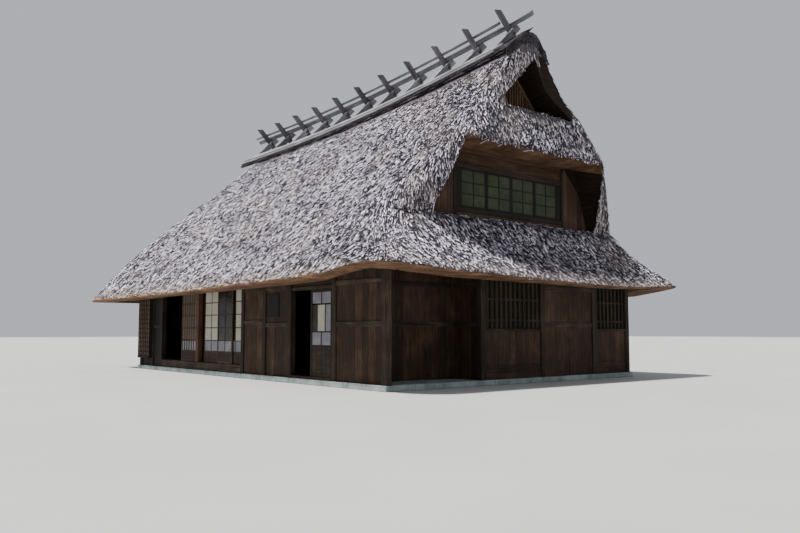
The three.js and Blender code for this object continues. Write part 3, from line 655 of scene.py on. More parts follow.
class Joinery:
    """Bevelled bars gathered in one mesh, each with its own grain direction and tone."""

    def __init__(self, name: str, finishes: list[Material], seed: int = 1) -> None:
        """Start an empty frame of bars."""
        self.name = name
        self.finishes = finishes
        self.random = random.Random(seed)
        self.bm = bmesh.new()
        self.grain = self.bm.verts.layers.float_vector.new("grain")
        self.tone = self.bm.verts.layers.float.new("tone")
        self.placed = self.bm.verts.layers.int.new("placed")

    def fresh(self) -> list[bmesh.types.BMVert]:
        """Vertices of the bar that is being made."""
        return [vert for vert in self.bm.verts if not vert[self.placed]]

    def stamp(self, finish: int, axis: int | None = None) -> list[bmesh.types.BMVert]:
        """Give the new bar its grain place, tone and finish.

        Args:
            finish: index of the finish.
            axis: the axis that the grain runs along; the longest if not given.

        Returns:
            The bar's vertices.
        """
        verts = self.fresh()
        low = Vector([min(v.co[i] for v in verts) for i in range(3)])
        high = Vector([max(v.co[i] for v in verts) for i in range(3)])
        extent = high - low
        if axis is None:
            axis = max(range(3), key=lambda i: extent[i])
        shift = Vector([self.random.uniform(0, 40) for _ in range(3)])
        tone = self.random.random()
        order = [i for i in range(3) if i != axis] + [axis]
        for vert in verts:
            local = vert.co - low
            vert[self.grain] = Vector([local[i] for i in order]) + shift
            vert[self.tone] = tone
            vert[self.placed] = 1
            for face in vert.link_faces:
                face.material_index = finish
        return verts

    def divide(self, axis: int, reach: float, cuts: int) -> None:
        """Divide the new bar's edges that are longer than the reach along an axis."""
        edges = [edge for edge in edges_of(self.fresh())
                 if abs(edge.verts[0].co[axis] - edge.verts[1].co[axis]) > reach]
        bmesh.ops.subdivide_edges(self.bm, edges=edges, cuts=cuts)

    def bar(self, low: tuple | Vector, high: tuple | Vector, bevel: float = 0.004,
            finish: int = 0, axis: int | None = None, cuts: int = 0,
            bend: Callable[[Vector], Vector] | None = None) -> None:
        """Add one bar.

        Args:
            low: its lowest corner.
            high: its highest corner.
            bevel: width of its rounded arrises.
            finish: index of its finish.
            axis: the axis that the grain runs along.
            cuts: how many times its length is divided.
            bend: moves each vertex once the grain is set.
        """
        size = Vector(high) - Vector(low)
        middle = (Vector(high) + Vector(low)) / 2
        matrix = Matrix.Translation(middle) @ Matrix.Diagonal((*size, 1.0))
        verts = bmesh.ops.create_cube(self.bm, size=1.0, matrix=matrix)["verts"]
        if bevel > 0:
            bmesh.ops.bevel(self.bm, geom=edges_of(verts), offset=min(bevel, min(size) * 0.3),
                            affect="EDGES", segments=1, profile=0.5, material=-1)
        if cuts:
            long_axis = max(range(3), key=lambda i: size[i])
            self.divide(long_axis, size[long_axis] * 0.5, cuts)
        for vert in self.stamp(finish, axis):
            if bend is not None:
                vert.co = bend(vert.co)

    def pole(self, start: Vector, end: Vector, radius: float, sides: int = 8,
             taper: float = 0.9, cuts: int = 0,
             bend: Callable[[Vector], Vector] | None = None) -> None:
        """Add one round pole from start to end.

        Args:
            start: one end of its axis.
            end: the other end.
            radius: radius at the start.
            sides: how many sides it has.
            taper: share of the radius left at the end.
            cuts: how many times its length is divided.
            bend: moves each vertex at the end.
        """
        run = end - start
        bmesh.ops.create_cone(self.bm, cap_ends=True, segments=sides, radius1=radius,
                              radius2=radius * taper, depth=run.length)
        if cuts:
            self.divide(2, run.length * 0.5, cuts)
        verts = self.stamp(0, 2)
        self.put(verts, (start + end) / 2, run)
        for vert in verts:
            for face in vert.link_faces:
                face.smooth = len(face.verts) == 4
            if bend is not None:
                vert.co = bend(vert.co)

    def put(self, verts: list, centre: Vector, along: Vector, stretch: tuple = (1, 1, 1)) -> None:
        """Stretch what was made round Z, turn it along a direction, and carry it to a centre."""
        turn = along.to_track_quat("Z", "Y").to_matrix().to_4x4()
        matrix = Matrix.Translation(centre) @ turn @ Matrix.Diagonal((*stretch, 1.0))
        bmesh.ops.transform(self.bm, matrix=matrix, verts=verts)

    def ring(self, centre: Vector, across: Vector, radius: float, thick: float,
             finish: int, stretch: tuple) -> None:
        """Add one turn of rope round an axis.

        Args:
            centre: middle of the turn.
            across: the axis that the rope goes round.
            radius: radius of the turn.
            thick: radius of the rope.
            finish: index of the finish.
            stretch: scale of the turn before it is placed.
        """
        matrix = Matrix.Translation((radius, 0, 0)) @ Matrix.Rotation(math.pi / 2, 4, "X")
        verts = bmesh.ops.create_circle(self.bm, segments=6, radius=thick, matrix=matrix)["verts"]
        bmesh.ops.spin(self.bm, geom=verts + edges_of(verts), cent=(0, 0, 0), axis=(0, 0, 1),
                       angle=math.tau, steps=12, use_merge=True, use_duplicate=False)
        bmesh.ops.recalc_face_normals(self.bm, faces=faces_of(self.fresh()))
        verts = self.stamp(finish, 2)
        self.put(verts, centre, across, stretch)
        for face in faces_of(verts):
            face.smooth = True

    def casement(self, low: tuple | Vector, high: tuple | Vector, stile: float, foot: float,
                 head: float, along: Along = Along.SIDE, inset: float = 0.0) -> None:
        """Add the frame of a leaf: two stiles with a foot rail and a head rail between them.

        Args:
            low: lowest corner of the leaf.
            high: its highest corner.
            stile: width of the stiles.
            foot: height of the foot rail.
            head: height of the head rail.
            along: the direction that the leaf runs in.
            inset: how far the rails stand back from the faces of the stiles.
        """
        side, depth = along.value, 1 - along.value
        first, last = list(low), list(high)
        first[side], last[side] = low[side] + stile, high[side] - stile
        corner = list(high)
        corner[side] = first[side]
        self.bar(low, corner)
        corner = list(low)
        corner[side] = last[side]
        self.bar(corner, high)
        first[depth] += inset
        last[depth] -= inset
        self.bar(first, (last[0], last[1], low[2] + foot))
        self.bar((first[0], first[1], high[2] - head), last)

    def done(self, body: str, slot: str, *nodes: str) -> None:
        """Publish the bars as one piece."""
        self.bm.verts.layers.int.remove(self.placed)
        publish(self.name, mesh_of(self.bm, self.name, *self.finishes), body, slot, nodes)


@dataclass
class ReedTuft:
    """One tuft of reed ends, tapered, with its foot lifted off the slope."""

    length: float
    width: float
    lift: float
    skew: float
    buried: float = 0.012
    taper: float = 0.4

    def build(self, name: str, finish: Material) -> bpy.types.Object:
        """Make the tuft, its head at the origin and its foot along +Y."""
        bm = bmesh.new()
        bm.loops.layers.uv.new("UVMap")
        along = bm.verts.layers.float.new("along")
        bmesh.ops.create_grid(bm, x_segments=1, y_segments=1, size=0.5, calc_uvs=True)
        for vert in bm.verts:
            t = vert.co.y + 0.5
            vert[along] = t
            width = self.width * (1.0 - self.taper * t)
            vert.co = Vector((vert.co.x * width + self.skew * t, self.length * t,
                              -self.buried + (self.lift + self.buried) * t))
        return bpy.data.objects.new(name, mesh_of(bm, name, finish))


@dataclass
class ReedScatter:
    """Lays tufts over a skin of thatch, all pointing down the fall of the slope."""

    kinds: bpy.types.Collection
    density: float
    seed: int
    turns: tuple[tuple, tuple] = ((-0.01, -0.75, -0.24), (0.03, 0.75, 0.24))
    scales: tuple[tuple, tuple] = ((0.70, 0.65, 0.8), (1.40, 1.35, 1.2))
    tree: bpy.types.NodeTree = field(init=False)

    def node(self, kind: str, inputs: dict[str | int, object] | None = None,
             **settings: object) -> bpy.types.Node:
        """Add a node, set its properties, and fill or link its inputs."""
        node = self.tree.nodes.new(kind)
        for name, value in settings.items():
            setattr(node, name, value)
        for socket, value in (inputs or {}).items():
            if isinstance(value, Socket):
                self.tree.links.new(value, node.inputs[socket])
            else:
                node.inputs[socket].default_value = value
        return node

    def vary(self, low: tuple, high: tuple, seed: int) -> Socket:
        """A random vector for each tuft."""
        return self.node("FunctionNodeRandomValue",
                         {0: low, 1: high, "Seed": self.seed * 10 + seed},
                         data_type="FLOAT_VECTOR").outputs[0]

    def fall(self, normal: Socket) -> Socket:
        """The steepest way down the surface."""
        down = (0, 0, -1)
        dot = self.node("ShaderNodeVectorMath", {0: normal, 1: down}, operation="DOT_PRODUCT")
        into = self.node("ShaderNodeVectorMath", {0: normal, "Scale": dot.outputs["Value"]},
                         operation="SCALE")
        return self.node("ShaderNodeVectorMath", {0: down, 1: into.outputs[0]},
                         operation="SUBTRACT").outputs[0]

    def build(self) -> bpy.types.NodeTree:
        """Make the node tree that scatters, turns, scales and joins the tufts."""
        self.tree = bpy.data.node_groups.new(f"reed_scatter_{self.seed}", "GeometryNodeTree")
        for way in ("INPUT", "OUTPUT"):
            self.tree.interface.new_socket("Geometry", in_out=way,
                                           socket_type="NodeSocketGeometry")
        source = self.node("NodeGroupInput")
        points = self.node("GeometryNodeDistributePointsOnFaces",
                           {"Mesh": source.outputs[0]}, distribute_method="RANDOM")
        points.inputs["Density"].default_value = self.density
        points.inputs["Seed"].default_value = self.seed
        normal = points.outputs["Normal"]
        align = "FunctionNodeAlignRotationToVector"
        flat = self.node(align, {"Vector": normal}, axis="Z")
        down = self.node(align, {"Rotation": flat.outputs[0], "Vector": self.fall(normal)},
                         axis="Y", pivot_axis="Z")
        euler = self.node("FunctionNodeEulerToRotation", {0: self.vary(*self.turns, 1)})
        loose = self.node("FunctionNodeRotateRotation",
                          {0: down.outputs[0], 1: euler.outputs[0]}, rotation_space="LOCAL")
        pick = self.node("GeometryNodeCollectionInfo", {
            "Collection": self.kinds, "Separate Children": True, "Reset Children": True})
        lay = self.node("GeometryNodeInstanceOnPoints", {
            "Points": points.outputs["Points"], "Instance": pick.outputs[0],
            "Pick Instance": True, "Rotation": loose.outputs[0],
            "Scale": self.vary(*self.scales, 2)})
        tone = self.node("FunctionNodeRandomValue", data_type="FLOAT")
        tone.inputs["Seed"].default_value = self.seed * 10 + 3
        store = self.node("GeometryNodeStoreNamedAttribute", {
            "Geometry": lay.outputs[0], "Name": "tone", "Value": tone.outputs[1]},
            domain="INSTANCE", data_type="FLOAT")
        joined = self.node("GeometryNodeRealizeInstances", {0: store.outputs[0]})
        self.node("NodeGroupOutput", {0: joined.outputs[0]})
        return self.tree


@dataclass
class ThatchPart:
    """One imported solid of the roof, with its lots of tufts: each lot's far X and its count."""

    node: str
    piece: str
    lots: tuple[tuple[float, int], ...]
    seed: int
    step: float = 0.14


@dataclass
class Thatch:
    """The thatch: a rough coat for each solid, covered with tufts of reed."""

    nodes: dict[str, bpy.types.Object]
    finishes: Finishes
    parts: tuple[ThatchPart, ...] = (
        ThatchPart("thatch_front", "front", ((0.5, 55000), (9.0, 90000)), 11),
        ThatchPart("thatch_rear", "rear", ((9.0, 52000),), 12, 0.2),
        ThatchPart("thatch_left_hip", "left_hip", ((9.0, 28000),), 13, 0.2),
        ThatchPart("thatch_gable_skirt", "gable_skirt", ((9.0, 56000),), 14),
        ThatchPart("thatch_gable_brow", "gable_brow", ((9.0, 68000),), 15),
    )
    tufts: tuple[ReedTuft, ...] = (
        ReedTuft(0.220, 0.020, 0.011, 0.010), ReedTuft(0.170, 0.023, 0.016, -0.012),
        ReedTuft(0.270, 0.018, 0.009, 0.006), ReedTuft(0.135, 0.022, 0.020, -0.006))
    helmet_x: float = 6.2
    vent_low: float = 5.9
    vent_foot: float = 6.3
    crest_low: float = 7.25
    vent_corner: tuple[float, float, float] = (-1.34, 6.24, 1.22)
    rough_broad: float = 0.017
    rough_fine: float = 0.008
    sunk: float = 0.016
    air: float = 12.0
    probe: float = 0.10
    tight_eave: float = 0.6
    level: float = 0.03
    upright: float = 0.7
    low_thatch: float = 3.5
    brow_band: tuple[float, float, float] = (5.15, 5.55, 6.15)
    eave_band: tuple[float, float] = (2.40, 2.50)
    eave_edges: tuple[float, float, float] = (5.1, 7.3, -7.5)
    bark_ends: tuple[float, float, float] = (-5.90, 6.70, 6.80)
    bark_low: tuple[float, float] = (6.80, 7.02)
    tree: BVHTree = field(init=False)
    kinds: bpy.types.Collection = field(init=False)

    def __post_init__(self) -> None:
        """Gather the solids in one search tree, and make the tufts."""
        whole = bmesh.new()
        for part in self.parts:
            whole.from_mesh(self.nodes[part.node].data)
        self.tree = BVHTree.FromBMesh(whole)
        whole.free()
        self.kinds = bpy.data.collections.new("tufts")
        for index, shape in enumerate(self.tufts):
            self.kinds.objects.link(shape.build(f"tuft_{index}", self.finishes.reed))

    def open_air(self, face: BMFace) -> bool:
        """Whether a face of the solid looks out into the open."""
        start = face.calc_center_median() + face.normal * 0.03
        return self.tree.ray_cast(start, face.normal, self.air)[0] is None

    def weathered(self, face: BMFace) -> bool:
        """Whether a face is one that rain reaches, so that reeds cover it."""
        centre, normal = face.calc_center_median(), face.normal
        if centre.z < PLAN.cut_top:
            return False
        crest = max(0.0, centre.z - self.crest_low)
        beyond = centre.z > self.vent_foot and centre.y > 0.1 + crest
        if beyond and normal.x > self.upright:
            return False
        if normal.z < self.level:
            verge = normal.x > 0.5 and centre.x > self.helmet_x and centre.z > PLAN.skirt_top
            near = centre.y < crest or centre.z < self.vent_low
            return verge and near and self.open_air(face)
        return self.open_air(face) or (centre.x > PLAN.helmet_plane and normal.z > 0.3)

    def divided(self, part: ThatchPart) -> BMesh:
        """The solid's skin, divided finely where it is weathered."""
        bm = bmesh.new()
        bm.from_mesh(self.nodes[part.node].data)
        bmesh.ops.remove_doubles(bm, verts=bm.verts, dist=0.0002)
        wet = bm.faces.layers.int.new("wet")
        for face in bm.faces:
            face[wet] = int(self.weathered(face))
        for _ in range(7):
            long_edges = [edge for edge in bm.edges if edge.calc_length() > part.step
                          and any(face[wet] for face in edge.link_faces)]
            if not long_edges:
                break
            bmesh.ops.subdivide_edges(bm, edges=long_edges, cuts=1)
            bmesh.ops.triangulate(bm, faces=[f for f in bm.faces if len(f.verts) > 3])
        return bm

    def roughen(self, bm: BMesh) -> None:
        """Push the weathered skin in and out, and note how the reeds lie."""
        wet = bm.faces.layers.int["wet"]
        lay = bm.verts.layers.float_vector.new("lay")
        up, moves = Vector((0, 0, 1)), {}
        for vert in bm.verts:
            faces = [face for face in vert.link_faces if face[wet]]
            if faces:
                normal = sum((face.normal * face.calc_area() for face in faces), Vector())
                normal = normal.normalized() if normal.length > 1e-9 else up
            else:
                normal = vert.normal if vert.normal.length > 0.5 else up
            across = normal.cross(up)
            across = across.normalized() if across.length > 1e-4 else Vector((1, 0, 0))
            vert[lay] = Vector((vert.co.dot(across), vert.co.dot(across.cross(normal)), 0.0))
            if len(faces) == len(vert.link_faces):
                swell = noise.fractal(vert.co * 1.1, 0.6, 2.1, 3) * self.rough_broad
                swell += noise.fractal(vert.co * 6.5, 0.6, 2.1, 2) * self.rough_fine
                moves[vert] = normal * (swell - self.sunk)
        for vert, move in moves.items():
            vert.co += move

    def draw_back(self, mesh: bpy.types.Mesh) -> None:
        """Draw the far verge of a finished mesh back, and lift its eave at the corner."""
        for vert in mesh.vertices:
            if vert.co.x > PLAN.verge_x and vert.co.y > 0:
                vert.co = PLAN.drawn_back(vert.co)
            if vert.co.z < self.low_thatch:
                vert.co = PLAN.eave_lift(vert.co)

    def cut_band(self, face: BMFace) -> bool:
        """Whether a face was cut square: under the eave, or on the band of eave or brow."""
        centre = face.calc_center_median()
        brow_low, brow_high, brow_x = self.brow_band
        under_top, face_top = self.eave_band
        side, right, left = self.eave_edges
        if face.normal.z < -0.25 and centre.z < under_top:
            return True
        if brow_low < centre.z < brow_high and centre.x > brow_x:
            return True
        near_eave = centre.z < face_top and abs(face.normal.z) < self.upright
        return near_eave and (abs(centre.y) > side or centre.x > right or centre.x < left)

    def coat(self, part: ThatchPart) -> BMesh:
        """Publish the coat of one solid, and return its skin for the tufts."""
        bm = self.divided(part)
        self.roughen(bm)
        wet = bm.faces.layers.int["wet"]
        for face in bm.faces:
            face.smooth = bool(face[wet])
            # Dry faces outside the cut bands take the painted shade of the soffit
            face.material_index = 0 if face[wet] else 1 if self.cut_band(face) else 2
        mesh = bpy.data.meshes.new(f"coat_{part.piece}")
        bm.to_mesh(mesh)
        self.draw_back(mesh)
        for finish in (self.finishes.skin, self.finishes.cut, self.finishes.shaded_soffit):
            mesh.materials.append(finish)
        publish(mesh.name, mesh, HOUSE, "thatch", (part.node,))
        return bm

    def reeds(self, part: ThatchPart, bm: BMesh) -> None:
        """Lay the tufts over one coat, lot by lot."""
        wet = bm.faces.layers.int["wet"]
        dry = [face for face in bm.faces if not face[wet] or self.under_bark(face)]
        bmesh.ops.delete(bm, geom=dry, context="FACES")
        start = -9.0
        for index, (end, tufts) in enumerate(part.lots):
            lot = bm.copy()
            away = [face for face in lot.faces if not start <= face.calc_center_median().x < end]
            bmesh.ops.delete(lot, geom=away, context="FACES")
            self.lay(lot, f"{part.piece}_{index + 1}", tufts, part.seed * 4 + index)
            start = end
        bm.free()

    def lay(self, skin: BMesh, name: str, tufts: int, seed: int) -> None:
        """Scatter tufts over a skin and publish them as one piece."""
        area = sum(face.calc_area() for face in skin.faces)
        host = stand(f"emitter_{name}", mesh_of(skin, f"emitter_{name}"))
        modifier = host.modifiers.new("scatter", "NODES")
        modifier.node_group = ReedScatter(self.kinds, tufts / area, seed).build()
        graph = bpy.context.evaluated_depsgraph_get()
        laid = bpy.data.meshes.new_from_object(host.evaluated_get(graph))
        bpy.data.objects.remove(host)
        laid.name = f"reeds_{name}"
        self.trim(laid)
        self.draw_back(laid)
        if not laid.materials:
            laid.materials.append(self.finishes.reed)
        publish(f"reeds_{name}", laid, HOUSE, "thatch")

    def in_vent(self, vert: bmesh.types.BMVert) -> bool:
        """Whether a vertex is in the open triangle of the vent gable."""
        point = vert.co
        low_y, low_z, lean = self.vent_corner
        inside = low_z < point.z < self.crest_low and point.x > self.helmet_x
        return inside and low_y + lean * (point.z - low_z) < point.y < 0.6

    def settles(self, head: Vector, feet: list[bmesh.types.BMVert]) -> bool:
        """Shorten a tuft until its foot stands over thatch, in the few tries that it has."""
        normal = self.tree.find_nearest(head)[1]
        near_vent = head.z > self.vent_low and head.x > self.helmet_x
        tight = head.z < PLAN.eave_z + self.tight_eave or near_vent
        tries, reach, level = (2, 0.14, 0.8) if tight else (3, 0.17, 0.0)
        for _ in range(tries):
            foot = (feet[0].co + feet[1].co) / 2
            hit = self.tree.ray_cast(foot + normal * self.probe, -normal, reach)
            if hit[0] is not None and hit[1].dot(normal) > level:
                return True
            for vert in feet:
                vert.co += (head - foot) * 0.5
        return False

    def trim(self, laid: bpy.types.Mesh) -> None:
        """Shorten the tufts that reach past an edge, and drop those that still do."""
        bm = bmesh.new()
        bm.from_mesh(laid)
        along = bm.verts.layers.float["along"]
        lost = []
        for face in bm.faces:
            heads = [vert for vert in face.verts if vert[along] < 0.5]
            feet = [vert for vert in face.verts if vert[along] >= 0.5]
            settled = self.settles((heads[0].co + heads[1].co) / 2, feet)
            if not settled or any(self.in_vent(vert) for vert in face.verts):
                lost.append(face)
        bmesh.ops.delete(bm, geom=lost, context="FACES")
        bm.to_mesh(laid)
        bm.free()

    def under_bark(self, face: BMFace) -> bool:
        """Whether a face lies under the ridge's bark, where no tuft is laid."""
        centre = face.calc_center_median()
        level = centre.z - PLAN.ridge_rise(centre.x)
        start, folded, end = self.bark_ends
        under = level > self.bark_low[0] and start < centre.x < end
        return under or (level > self.bark_low[1] and centre.x > folded)

    def build(self) -> None:
        """Coat and cover every part of the roof."""
        for part in self.parts:
            self.reeds(part, self.coat(part))
        for shape in list(self.kinds.objects):
            bpy.data.objects.remove(shape)
        bpy.data.collections.remove(self.kinds)


@dataclass
class Ridge:
    """Bark cover, pressing poles, crossed boards and rails."""

    finishes: Finishes
    left: float = -5.94
    right: float = 6.823
    cover: float = 0.127
    outs: tuple[float, ...] = (0.215, 0.38, 0.52, 0.64, 0.745, 0.83)
    lap: float = 0.022
    tears: tuple[float, float] = (0.055, 0.024)
    rough: float = 0.010
    sheet_thick: float = 0.018
    fold_thick: float = 0.014
    core_thick: float = 0.05
    cap_wide: float = 0.62
    crown: float = 0.075
    half: float = 0.80
    rope: tuple[float, float] = (0.1, 0.010)
    rope_stretch: tuple[float, float, float] = (0.68, 1.36, 1.0)
    pole_runs: tuple[tuple[float, ...], ...] = (
        (0.685, -5.88, 6.50, 0.048), (0.560, -5.64, 5.95, 0.036), (0.775, -5.92, 6.30, 0.030))
    horse_first: float = 6.17
    horse_pitch: float = 1.133
    horse_count: int = 11
    cross: float = 0.35
    foot: float = 0.64
    sink: float = 0.03
    front_past: float = 0.29
    rear_past: float = 0.705
    plank: tuple[float, float] = (0.058, 0.18)
    narrow: float = 0.93
    rail: float = 0.12
    rail_ends: tuple[float, float] = (-5.96, 6.816)
    upper_rail: float = 0.076
    upper_rail_up: float = 0.238
    upper_rail_right: float = 5.9

    def bend(self, point: Vector) -> Vector:
        """Carry a point up with the sweep of the ridge."""
        return PLAN.drawn_back(Vector((point.x, point.y, point.z + PLAN.ridge_rise(point.x))))

    def laid(self, x: float, away: float, height: float) -> Vector:
        """A place on the ridge, carried up with its sweep."""
        return self.bend(Vector((x, away, height)))

    def strip(self, bm: BMesh, side: int, out: tuple[float, float], seed: int,
              ends: tuple[float, float]) -> None:
        """Add one lapping strip of bark along the ridge.

        Args:
            bm: the mesh being made.
            side: -1 for the front slope, 1 for the rear.
            out: inner and outer distance from the ridge line.
            seed: picks how its edge is torn.
            ends: X of its two ends.
        """
        def shape(along: float, t: float) -> Vector:
            """Tear the outer edge, and lift it over the strip below."""
            x = ends[0] + along * (ends[1] - ends[0])
            torn = ragged(x * 2.6, seed * 7.1, 0.3) * self.tears[0] * t
            torn += ragged(x * 9.0, seed * 3.7, 5.3) * self.tears[1] * t
            away = out[0] + (out[1] - out[0]) * t + torn
            height = PLAN.slope_height(away, self.cover - 0.05) + self.lap * t
            height += ragged(x * 3.1, away * 5, seed) * self.rough
            return self.laid(x, side * away, height)

        faces = sheet(bm, 90, 3, shape)
        if side < 0:
            bmesh.ops.reverse_faces(bm, faces=faces)

    def cap(self, along: float, across: float) -> Vector:
        """A place on the crowned cap along the top."""
        x = self.left + along * (self.right - self.left)
        away = (across - 0.5) * self.cap_wide
        crown = self.crown * math.cos(math.pi * (across - 0.5))
        crown += ragged(x * 3.0, away * 6, 2.0) * self.rough
        return self.laid(x, away, PLAN.ridge_z + crown)

    def bark(self) -> None:
        """Lapped strips of bark on both slopes, and a cap along the top."""
        bm = bmesh.new()
        for side in (-1, 1):
            for layer, (inner, outer) in enumerate(zip(self.outs, self.outs[1:])):
                ends = (self.left + 0.02 * (layer % 2), self.right - 0.015 * (layer % 3))
                self.strip(bm, side, (inner - 0.10, outer), layer * 2 + side, ends)
        sheet(bm, 90, 6, self.cap)
        bmesh.ops.solidify(bm, geom=bm.faces[:], thickness=self.sheet_thick)
        bmesh.ops.recalc_face_normals(bm, faces=bm.faces[:])
        for face in bm.faces:
            face.smooth = True
        faces = self.apron(bm) + self.curls(bm)
        bmesh.ops.recalc_face_normals(bm, faces=faces)
        bmesh.ops.solidify(bm, geom=faces, thickness=self.fold_thick)
        faces = sheet(bm, 60, 16, self.core)
        bmesh.ops.solidify(bm, geom=faces, thickness=self.core_thick)
        mesh = mesh_of(bm, "ridge_bark_cover", self.finishes.bark)
        publish("ridge_bark_cover", mesh, HOUSE, "ridge_bark", ("ridge_cover",))

    def apron(self, bm: BMesh) -> list[BMFace]:
        """Add bark folded down over the thatch at the helmet end, in three layers."""
        faces: list[BMFace] = []
        for layer in range(3):
            def shape(across: float, s: float, layer: int = layer) -> Vector:
                """Fold the sheet over the end, and tear its lower edge."""
                t = (across - 0.5) * 2
                away = t * self.half - 0.12 - 0.03 * layer
                top = min(PLAN.slope_height(abs(away), self.cover) + 0.025, PLAN.ridge_z + 0.10)
                drop = max(s - 0.2, 0) / 0.8 * (0.26 - 0.06 * layer)
                drop += s * 0.12 * ragged(t * 6.3, layer * 3.0, 0.5)
                x = self.right - 0.06 + min(s / 0.2, 1.0) * 0.085 + 0.012 * layer
                return self.laid(x + 0.018 * ragged(t * 3.0, s * 2.0, layer), away, top - drop)

            faces += sheet(bm, 44, 6, shape)
        return faces

    def curls(self, bm: BMesh) -> list[BMFace]:
        """Add torn curls of bark on top, a long one at the end and smaller ones behind it."""
        faces: list[BMFace] = []
        for index in range(8):
            length, back, reach = 0.26, 0.25 + 0.17 * index, 0.10 - 0.009 * index
            if index == 0:
                length, back, reach = 0.62, 0.0, 0.17
            start = self.right + 0.035 - length - back

            def shape(t: float, s: float, index: int = index, length: float = length,
                      start: float = start, reach: float = reach) -> Vector:
                """Lift the free corner of the sheet."""
                torn = ragged(t * 4.0, index * 2.3, s)
                away = -0.34 + 0.30 * s + 0.03 * torn
                top = min(PLAN.slope_height(-away, self.cover), PLAN.ridge_z + 0.08) + 0.015
                curl = reach * t * math.sqrt(t) * s * (1 + 0.35 * torn)
                return self.laid(start + length * t, away, top + curl)

            faces += sheet(bm, 8, 4, shape)
        return faces

    def core(self, along: float, across: float) -> Vector:
        """A place on the body of bundles under the bark, which shows at the two ends."""
        x = self.left + 0.05 + along * (self.right - self.left - 0.11)
        away = (across - 0.5) * 2 * self.half
        height = PLAN.slope_height(abs(away), self.cover - 0.07)
        return self.laid(x, away, min(height, PLAN.ridge_z + 0.05))

    def poles(self) -> None:
        """Poles that press the bark down on both slopes."""
        poles = Joinery("ridge_poles", [self.finishes.silver], 21)
        for side in (-1, 1):
            for out, start, end, radius in self.pole_runs:
                height = PLAN.slope_height(out, self.cover) + radius * 1.15

                def sway(point: Vector, out: float = out, side: int = side) -> Vector:
                    """Bend a pole a little as grown wood is."""
                    drift = ragged(point.x * 0.6, out * 9, side) * 0.012
                    return self.laid(point.x, point.y + drift, point.z + drift * 0.5)

                poles.pole(Vector((start, side * out, height)), Vector((end, side * out, height)),
                           radius, 10, 0.82, 28, sway)
        poles.done(HOUSE, "ridge_timber", "ridge_pole_front", "ridge_pole_rear")

    def climb(self) -> float:
        """Height of a crossing over the foot of its boards."""
        return PLAN.ridge_z + self.cross - PLAN.slope_height(self.foot, self.cover) + self.sink

    def crossing(self, x: float) -> Vector:
        """Where a pair of boards crosses."""
        return Vector((x, 0, PLAN.ridge_z + self.cross + PLAN.ridge_rise(x)))

    def horse_turn(self, side: int, x: float) -> Matrix:
        """Placement of a crossed board whose length runs along +Y from the crossing."""
        turn = Matrix.Rotation(math.atan2(self.climb(), self.foot), 4, "X")
        if side > 0:
            turn = Matrix.Rotation(math.pi, 4, "Z") @ turn
        return Matrix.Translation(self.crossing(x)) @ turn

    def horses(self) -> None:
        """Crossed boards, the rear one reaching far past the crossing."""
        boards = Joinery("ridge_crossed_boards", [self.finishes.silver, self.finishes.rope,
                                                  self.finishes.shaded_silver], 22)
        for index in range(self.horse_count):
            x = self.horse_first - index * self.horse_pitch
            for side, past in ((-1, self.front_past), (1, self.rear_past)):
                sway = boards.random.uniform(-0.012, 0.012)
                turn = self.horse_turn(side, x - side * self.plank[0] / 2)
                self.plank_bar(boards, past, side, turn @ Matrix.Rotation(sway, 4, "Z"))
            for step in (-1.5, -0.5, 0.5, 1.5):
                boards.ring(self.crossing(x) + Vector((0, 0.02 * step, 0)),
                            Vector((0.06 * step, 1, 0.25 * step)), *self.rope, 1,
                            self.rope_stretch)
        names = [f"ridge_horse_{index + 1:02d}" for index in range(self.horse_count)]
        boards.done(HOUSE, "ridge_timber", *names)

    def plank_bar(self, boards: Joinery, past: float, side: int, turn: Matrix) -> None:
        """One board of a crossed pair, its upper end cut slanting."""
        thick, deep = self.plank
        start = -math.hypot(self.foot, self.climb())
        cut = 0.11 if side > 0 else 0.05

        def placed(point: Vector) -> Vector:
            """Narrow the board a little towards its tip, slant the tip, and stand it in place."""
            t = (point.y - start) / (past - start)
            slant = cut * (0.5 + point.z / deep) if t > 0.9 else 0.0
            z = point.z * (1 - (1 - self.narrow) * t)
            return turn @ Vector((point.x, point.y - slant, z))

        # Front boards take the silver timber, rear boards its darker copy, painted shade
        boards.bar((-thick / 2, start, -deep / 2), (thick / 2, past, deep / 2), 0.007,
                   0 if side < 0 else 2, 1, 3, placed)

    def rails(self) -> None:
        """A stout rail lying in the crossings, and a slim one lashed over it."""
        rails = Joinery("ridge_rails", [self.finishes.silver], 23)
        crotch, root = self.plank[1] / math.sqrt(2), math.sqrt(2)
        slim, up = self.upper_rail / 2, self.upper_rail_up
        for size, across, height, right in (
                (self.rail, 0.0, crotch + self.rail / root, self.rail_ends[1]),
                (self.upper_rail, (slim - up) / root, crotch + (slim + up) / root,
                 self.upper_rail_right)):
            lift = Matrix.Translation((0, across, PLAN.ridge_z + self.cross + height))
            turn = lift @ Matrix.Rotation(math.pi / 4, 4, "X")

            def placed(point: Vector, turn: Matrix = turn) -> Vector:
                """Stand the rail on its edge, and bend it with the ridge."""
                return self.bend(turn @ point)

            rails.bar((self.rail_ends[0], -size / 2, -size / 2), (right, size / 2, size / 2),
                      0.009, 0, 0, 22, placed)
        rails.done(HOUSE, "ridge_timber", "ridge_rail_front", "ridge_rail_rear")

    def build(self) -> None:
        """Make the whole ridge."""
        for step in (self.bark, self.poles, self.horses, self.rails):
            step()


